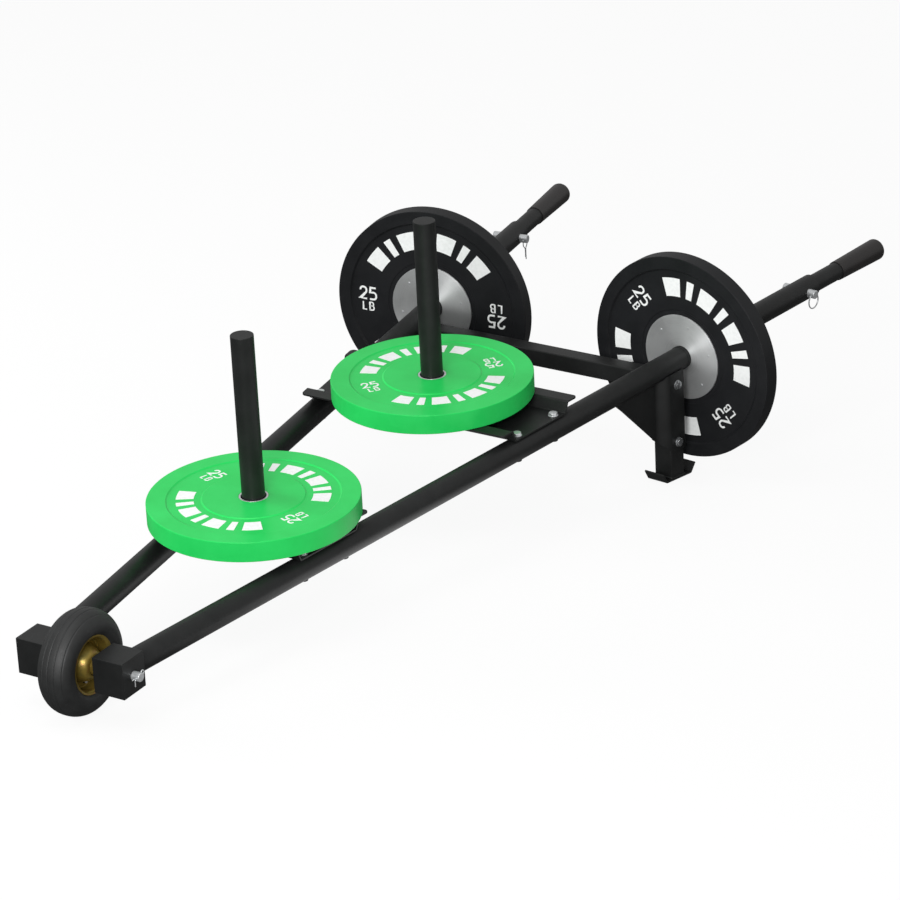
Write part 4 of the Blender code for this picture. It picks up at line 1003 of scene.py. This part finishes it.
# %% Handles and grips
HANDLE_RADIUS, HANDLE_FRONT = 0.0198, RAIL_END - 0.153
GRIP_START, GRIP_END = 2.299, 2.458
GRIP_BORE_RADIUS, GRIP_START_RADIUS, GRIP_END_RADIUS = HANDLE_RADIUS + 0.0002, 0.0217, 0.0245
GRIP_FACE = GRIP_END - 0.0001
grip_corners = [
    (GRIP_BORE_RADIUS, GRIP_START + 0.004),
    (GRIP_BORE_RADIUS, GRIP_START),
    (GRIP_START_RADIUS, GRIP_START),
    (GRIP_END_RADIUS, GRIP_FACE),
    (0.0, GRIP_FACE),
]
pipe = bar_profile(HANDLE_RADIUS, HANDLE_FRONT, GRIP_END - 0.006, 0.001, 0.001)
cover = rounded(grip_corners, (0, 0.0002, 0.0010, 0.0082, 0), steps=8, closed=False)
cover[-1] = (0.004, GRIP_FACE)
for side in SIDES:
    along_rail = aimed(rails[side], axis="y")
    build(f"handle_tube_{side}", [skin(turned(pipe, along_rail))], "handle_" + side)
    build(f"rubber_grip_{side}", [skin(turned(cover, along_rail))], "grip_" + side, grip_rubber)

# %% [markdown]
# ## Hitch pins, pull rings and clips
#
# A pin goes through sleeve and handle. Its outer end has a ring to pull, its inner end a spring
# clip that hangs down. Both wires are round sections carried along a line in one plane. They ride
# on bodies of their own, because they swing.

# %% Hitch pins
HITCH_S, PIN_RADIUS, PIN_HALF = 2.163, 0.0095, 0.0420
CROSS_HOLE_X = PIN_HALF - 0.0070
rod = bar_profile(PIN_RADIUS, PIN_HALF, -PIN_HALF, 0.0018, 0.0018)
for side in SIDES:
    pin_frame = aimed(rails[side], (0, HITCH_S, 0), "x")
    shells = [skin(turned(rod, pin_frame, 64))]
    build(f"hitch_rod_{side}", shells, f"hitch_pin_{side}", bright_zinc, f"hitch_{side}")

# %% Pull rings
RING_RADIUS, RING_WIRE = 0.0170, 0.0014
RING_DIP = RING_RADIUS - (RING_RADIUS**2 - PIN_RADIUS**2) ** 0.5
section = circle(RING_WIRE, 14) + (RING_RADIUS, 0)
for side, sign in SIDES.items():
    centre = (sign * CROSS_HOLE_X, HITCH_S, -(RING_RADIUS - RING_DIP / 2))
    ring_frame = aimed(rails[side], centre, "x")
    shells = [skin(turned(section, ring_frame, 96), wrap=True)]
    build(f"wire_ring_{side}", shells, f"pull_ring_{side}", bright_zinc, f"ring_{side}")

# %% Spring clips
CLIP_WIRE, CLIP_HALF, CLIP_SIDE, CLIP_LOOP = 0.0011, 0.0115, 0.0110, 0.0260
CLIP_LONG_LEG, CLIP_SHORT_LEG = 0.0500, CLIP_LOOP + 0.018


def clip_path():
    """A loop through the pin's cross hole as (along, z): round shoulders, sides that close in by a
    half cosine wave, then two legs that hang down side by side, one longer than the other."""
    leg = CLIP_WIRE + 0.0003
    t = np.linspace(0, 1, 16)[:, None]
    corners = [(0, 0), (CLIP_HALF, 0), (CLIP_HALF, -CLIP_SIDE)]
    shoulder = rounded(corners, 0.0025, steps=8, closed=False)[1:-1]
    ease = (1 - np.cos(pi * t)) / 2
    neck = np.hstack([CLIP_HALF + (leg - CLIP_HALF) * ease, -CLIP_SIDE + (CLIP_SIDE - CLIP_LOOP) * t])
    one = np.vstack([shoulder, neck, [(leg, -CLIP_LONG_LEG)]])
    other = np.vstack([shoulder, neck, [(leg, -CLIP_SHORT_LEG)]]) * (-1, 1)
    return np.vstack([other[::-1], one])


flat = clip_path() + (HITCH_S, 0)
for side, sign in SIDES.items():
    path = np.insert(flat, 0, -sign * CROSS_HOLE_X, axis=1)
    path = resampled(placed(path, rails[side]), 0.0009)
    shells = [skin(swept(path, circle(CLIP_WIRE, 12), rails[side][:3, 0]))]
    build(f"spring_clip_{side}", shells, f"pin_clip_{side}", bright_zinc, f"clip_{side}")

# %% [markdown]
# ## Black side plates
#
# Competition style plates: a raised rim round a sunk face, a shallow groove round the hub, and a
# faced steel disc with a ring of small screws. Both faces are alike, so half the profile is
# written and mirrored.

# %% Side plates
PLATE_HALF, PLATE_RADIUS = 0.01755, 0.2247
PLATE_FACE, PLATE_GROOVE = 0.01405, 0.0128
plate_corners = [
    (0.0947, PLATE_GROOVE),
    (0.1046, PLATE_GROOVE),
    (0.1060, PLATE_FACE),
    (0.1935, PLATE_FACE),
    (0.1972, PLATE_HALF),
    (PLATE_RADIUS, PLATE_HALF),
    (PLATE_RADIUS, 0.0),
]
plate_radii = (0, 0.0006, 0.0006, 0.0012, 0.0012, 0.0015, 0)
side_plate = mirrored(rounded(plate_corners, plate_radii, closed=False)[:-1])
plate_frames = {side: aimed(rails[side], (0, SIDE_PLATE_S + PLATE_HALF, 0), "y") for side in SIDES}
for side in SIDES:
    shells = [skin(turned(side_plate, plate_frames[side], 224), wrap=True)]
    build(f"bumper_black_{side}", shells, f"side_plate_{side}", black_rubber, f"{side}_load")

# %% Steel discs, with a UV map round and outwards for the turning marks
DISC_RADIUS, PLATE_BORE, DISC_HALF = 0.0944, 0.0253, 0.01535
SCREW_CIRCLE, SCREW_COUNT, SCREW_TURN = 0.0730, 6, np.radians(15)


def round_and_out(piece, base):
    """Writes a UV map: U is the angle about the frame's Z as a share of a turn, V the radius in m."""
    mesh = piece.data
    points = np.empty(len(mesh.vertices) * 3)
    mesh.vertices.foreach_get("co", points)
    local = (points.reshape(-1, 3) - base[:3, 3]) @ base[:3, :3]
    corner_vertex = np.empty(len(mesh.loops), int)
    mesh.loops.foreach_get("vertex_index", corner_vertex)
    starts = np.empty(len(mesh.polygons), int)
    mesh.polygons.foreach_get("loop_start", starts)
    angle = np.arctan2(local[:, 1], local[:, 0])[corner_vertex] / (2 * pi)
    first = angle[starts][np.searchsorted(starts, np.arange(len(angle)), side="right") - 1]
    angle -= np.round(angle - first)
    radius = np.hypot(local[:, 0], local[:, 1])[corner_vertex]
    layer = mesh.uv_layers.new(name=turned_steel_map)
    layer.data.foreach_set("uv", np.stack([angle, radius], -1).ravel())


disc_corners = [(DISC_RADIUS, 0.0), (DISC_RADIUS, DISC_HALF), (PLATE_BORE, DISC_HALF), (PLATE_BORE, 0.0)]
disc_wall = mirrored(rounded(disc_corners, (0, 0.0006, 0.0006, 0), closed=False)[1:-1])
dome = rounded([(0.0030, -0.0006), (0.0030, 0.0003), (0.0008, 0.0008)], (0, 0.0006, 0), closed=False)
for side in SIDES:
    shells = [skin(turned(disc_wall, plate_frames[side], 192), wrap=True)]
    disc = build(f"steel_face_{side}", shells, f"steel_disc_{side}", turned_steel, f"{side}_load")
    round_and_out(disc, plate_frames[side])
    screws = []
    for face in (-1, 1):
        for i in range(SCREW_COUNT):
            turn = 2 * pi * i / SCREW_COUNT + SCREW_TURN
            spot = (SCREW_CIRCLE * np.sin(turn), SCREW_CIRCLE * np.cos(turn), face * DISC_HALF)
            screws.append(skin(turned(dome * (1, face), aimed(plate_frames[side], spot), 24)))
    build(f"disc_screws_{side}", screws, finish=bright_zinc, body=f"{side}_load")

# %% [markdown]
# ## Green post plates
#
# Coloured bumper plates lie on the crossmembers. Each face has a shallow sunk band between two
# soft steps, and a steel ring lines the bore.

# %% Post plates and bore rings
GREEN_HALF, GREEN_RADIUS = 0.0208, 0.2098
GREEN_FACE = GREEN_HALF - 0.0020
LINER_RADIUS = 0.0291
GREEN_BORE = LINER_RADIUS + CLEARANCE
GREEN_MIDDLE_Z = HAT_BASE_Z + HAT_HEIGHT + CLEARANCE + GREEN_HALF
green_corners = [
    (GREEN_BORE, 0.0),
    (GREEN_BORE, GREEN_HALF),
    (0.1003, GREEN_HALF),
    (0.1030, GREEN_FACE),
    (0.1690, GREEN_FACE),
    (0.1715, GREEN_HALF),
    (GREEN_RADIUS, GREEN_HALF),
    (GREEN_RADIUS, 0.0),
]
green_radii = (0, 0.0006, 0.0016, 0.0014, 0.0014, 0.0016, 0.0016, 0)
green_plate = mirrored(rounded(green_corners, green_radii, closed=False)[1:-1])
bore_ring = ring_profile(PLATE_BORE, LINER_RADIUS, -GREEN_HALF, GREEN_HALF, 0.0006)
for label, y in POSTS.items():
    green_frame = aimed(chassis, (0, y, GREEN_MIDDLE_Z))
    shells = [skin(turned(green_plate, green_frame, 224), wrap=True)]
    build(f"bumper_green_{label}", shells, f"{label}_plate", green_rubber, f"{label}_load")
    build(
        f"bore_liner_{label}",
        [skin(turned(bore_ring, green_frame, 96), wrap=True)],
        f"{label}_plate_bore_ring",
        bright_zinc,
        f"{label}_load",
        slot="brushed_steel",
    )

# %% [markdown]
# ## Marks on the plates
#
# Each face carries its weight twice, and plain white blocks on two arcs. A figure is a few strokes:
# lines with rounded bends, given a width and a thin height. A block is a piece of a ring, bent
# from a rectangle: x becomes the angle and y the radius.

# %% Strokes of the figures, in units of the figure's height
TWO = [(0.04, 0.72), (0.04, 1.0), (0.56, 1.0), (0.56, 0.6), (0.03, 0.0), (0.6, 0.0)]
FIVE = [(0.55, 1.0), (0.08, 1.0), (0.05, 0.56), (0.58, 0.64), (0.58, 0.0), (0.02, 0.0)]
UPPER_B = [(0.05, 0.0), (0.05, 1.0), (0.52, 1.0), (0.52, 0.52), (0.05, 0.52)]
LOWER_B = [(0.05, 0.52), (0.58, 0.52), (0.58, 0.0), (0.0, 0.0)]
GLYPHS = {
    "2": [(TWO, (0, 0.24, 0.24, 0.16, 0, 0))],
    "5": [(FIVE, (0, 0, 0, 0.26, 0.26, 0))],
    "L": [([(0.05, 1.0), (0.05, 0.0), (0.52, 0.0)], (0, 0, 0))],
    "B": [(UPPER_B, (0, 0, 0.2, 0.2, 0)), (LOWER_B, (0, 0.22, 0.22, 0))],
}
PRINT_HEIGHT = 0.0004
# Each line of the mark as its text, figure height, stroke width, base line and gap between figures.
WEIGHT_LINES = (("25", 0.0275, 0.0042, -0.0045, 0.0060), ("LB", 0.0185, 0.0030, -0.0305, 0.0045))


def stroke(points, radii, width, height_of_figure):
    """One stroke as a flat ribbon: its middle line offset by half the width to both sides."""
    corners, bends = np.array(points) * height_of_figure, np.array(radii) * height_of_figure
    return sheet_outline(rounded(corners, bends, closed=False), width)


def print_shell(outline, base, z):
    """A thin closed slab over an outline of two matching edges, lying at height z."""
    rings = [np.insert(outline, 2, z + h, axis=1) for h in (0.0, PRINT_HEIGHT)]
    return skin(placed(np.array(rings), base), strip=True)


def weight_shells(base, z, radius, turn, size):
    """25 over LB. The words read towards the bore: x runs inwards, y clockwise round the plate."""
    shells = []
    inward = np.array([-np.sin(turn), -np.cos(turn)])
    clockwise = np.array([np.cos(turn), -np.sin(turn)])
    for text, height, width, base_line, gap in WEIGHT_LINES:
        advance = (0.62 * height + gap) * size
        start = -advance + gap * size / 2
        for number, letter in enumerate(text):
            for points, radii in GLYPHS[letter]:
                flat = stroke(points, radii, width * size, height * size)
                flat = flat + (start + number * advance, base_line * size)
                spot = -inward * radius + flat[:, :1] * inward + flat[:, 1:] * clockwise
                shells.append(print_shell(spot, base, z))
    return shells


def block_shells(base, z, inner, outer, turn):
    """Seven plain blocks on an arc of 114 degrees, wide and narrow in turn, centred on an angle."""
    shells = []
    widths, gap = np.radians((15, 6, 15, 6, 15, 6, 15)), np.radians(6)
    start = turn - (widths.sum() + gap * 6) / 2
    for width in widths:
        angle = np.linspace(start, start + width, 12)[:, None]
        direction = np.hstack([np.sin(angle), np.cos(angle)])
        outline = np.vstack([direction * outer, (direction * inner)[::-1]])
        shells.append(print_shell(outline, base, z))
        start += width + gap
    return shells


# %% Print both faces of every plate
BLOCKS_AFTER_WEIGHT = np.radians(86)
PRINT_SINK = 0.00005


def print_plate(name, base, face_height, body, degrees, weight_radius, band, size):
    """Marks on the face that looks along plus Z and, from behind, on the other face."""
    shells = []
    z, turn = face_height - PRINT_SINK, np.radians(degrees)
    flip = aimed(base)
    flip[:3, 0] *= -1
    flip[:3, 2] *= -1
    for face in (base, flip):
        for half_turn in (0, pi):
            shells += weight_shells(face, z, weight_radius, turn + half_turn, size)
            shells += block_shells(face, z, *band, turn + half_turn + BLOCKS_AFTER_WEIGHT)
    build(name, shells, finish=white_print, body=body)


black_marks = {"weight_radius": 0.1540, "band": (0.1365, 0.1775), "size": 1.0}
green_marks = {"weight_radius": 0.1330, "band": (0.1165, 0.1515), "size": 0.84}
for side, degrees in (("left", -88), ("right", -44)):
    x, y, z = rails[side][:3, :3].T
    front = frame_from(plate_frames[side][:3, 3], x, z, -y)
    print_plate(f"marks_black_{side}", front, PLATE_FACE, f"{side}_load", degrees, **black_marks)
for label, degrees in (("front", -70), ("rear", 218)):
    top = aimed(chassis, (0, POSTS[label], GREEN_MIDDLE_Z))
    print_plate(f"marks_green_{label}", top, GREEN_FACE, f"{label}_load", degrees, **green_marks)

# %% [markdown]
# ## CAD solids that stay
#
# The hub tube and the bearings sit deep in the wheel, where their plain shapes are right. They
# only get the finish of the real ones.

# %% Finishes on the CAD solids that stay
inner_finishes = {"hub": yellow_zinc, "bearing_left": bright_zinc, "bearing_right": bright_zinc}
for name, finish in inner_finishes.items():
    node = frame["nodes"][name]
    node.data.materials.clear()
    node.data.materials.append(finish)

# %% [markdown]
# ## Floor and light
#
# The picture has a plain white ground. The floor is seen as a white sheet that glows by itself and
# takes a little lamp light, which leaves room for the soft shadow of the object. In reflections it
# is a dim grey sheet with a bright pool at the right, so that black paint stays black and the
# turned discs have something bright to show. For the light that it throws back it is a middle
# grey. The lamps are three large soft boxes: overhead, at the left and in front. The first and the
# last also show as highlights.

# %% Helper for values that depend on the kind of ray
def by_ray(tree, **levels):
    """A value that is a sum of levels, each times whether the ray is of that kind."""
    rays, total = add_node(tree, "LightPath", {}), 0.0
    for kind, level in levels.items():
        seen = rays.outputs[f"Is {kind.capitalize()} Ray"]
        total = add_node(tree, "Math", {0: seen, 1: level, 2: total}, operation="MULTIPLY_ADD")
    return total


# %% Floor
POOL_CENTRE, POOL_RADIUS = np.array([0.45, -0.35, 0.0]), 0.65
FLOOR_REACH = 40.0
floor_finish = bpy.data.materials.new("studio_floor")
floor_finish.use_nodes = True
tree = floor_finish.node_tree
tree.nodes.clear()
place = add_node(tree, "TexCoord", {}).outputs["Object"]
scaled = {"Vector": place, "Location": -POOL_CENTRE / POOL_RADIUS, "Scale": (1 / POOL_RADIUS,) * 3}
around = add_node(tree, "Mapping", scaled)
pool = add_node(tree, "TexGradient", {"Vector": around}, gradient_type="SPHERICAL").outputs["Fac"]
pool_glow = add_node(tree, "MapRange", {"Value": pool, "To Min": 0.12, "To Max": 2.3})
matt = add_node(tree, "BsdfDiffuse", {"Color": by_ray(tree, camera=0.09, diffuse=0.32)})
glow = add_node(tree, "Emission", {"Strength": by_ray(tree, camera=0.9, glossy=pool_glow)})
both = add_node(tree, "AddShader", {0: matt, 1: glow})
add_node(tree, "OutputMaterial", {"Surface": both})
floor_mesh = bpy.data.meshes.new("studio_floor")
corners = np.array([(-1, -1, 0), (1, -1, 0), (1, 1, 0), (-1, 1, 0)]) * FLOOR_REACH
floor_mesh.from_pydata(corners.tolist(), [], [(0, 1, 2, 3)])
floor_mesh.materials.append(floor_finish)
floor = bpy.data.objects.new("studio_floor", floor_mesh)
bpy.context.scene.collection.objects.link(floor)
floor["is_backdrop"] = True

# %% Lamps and world
LAMPS_AIM = np.array([0.0, 0.0, 0.2])
# Each lamp is its place, size, watts, and whether it shows in reflections.
LAMPS = (
    ("soft_top", (-0.3, -1.6, 3.6), 1.8, 25.0, True),
    ("soft_left", (-4.0, -1.2, 1.2), 2.2, 100.0, False),
    ("soft_front", (1.6, -4.8, 1.8), 2.0, 165.0, True),
)
for name, spot, size, watts, reflected in LAMPS:
    light = bpy.data.lights.new(name, "AREA")
    light.shape, light.size, light.energy = "DISK", size, watts
    lamp = bpy.data.objects.new(name, light)
    bpy.context.scene.collection.objects.link(lamp)
    lamp.visible_glossy = reflected
    back = unit(spot - LAMPS_AIM)
    right = unit(np.cross((0, 0, 1), back))
    lamp.matrix_world = Matrix(frame_from(spot, right, np.cross(back, right), back).tolist())

world = bpy.data.worlds.new("studio_world")
bpy.context.scene.world = world
world.use_nodes = True
tree = world.node_tree
tree.nodes.clear()
sky_level = by_ray(tree, camera=1.0, glossy=0.60, diffuse=0.60)
sky = add_node(tree, "Background", {"Color": (1, 1, 1, 1), "Strength": sky_level})
add_node(tree, "OutputWorld", {"Surface": sky})

scene = bpy.context.scene
scene.view_settings.view_transform = "Standard"
scene.render.film_transparent = False

# %% Bounds of the visual pieces
low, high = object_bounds()
print("visual box", [round(a, 4) for a in low], [round(a, 4) for a in high])
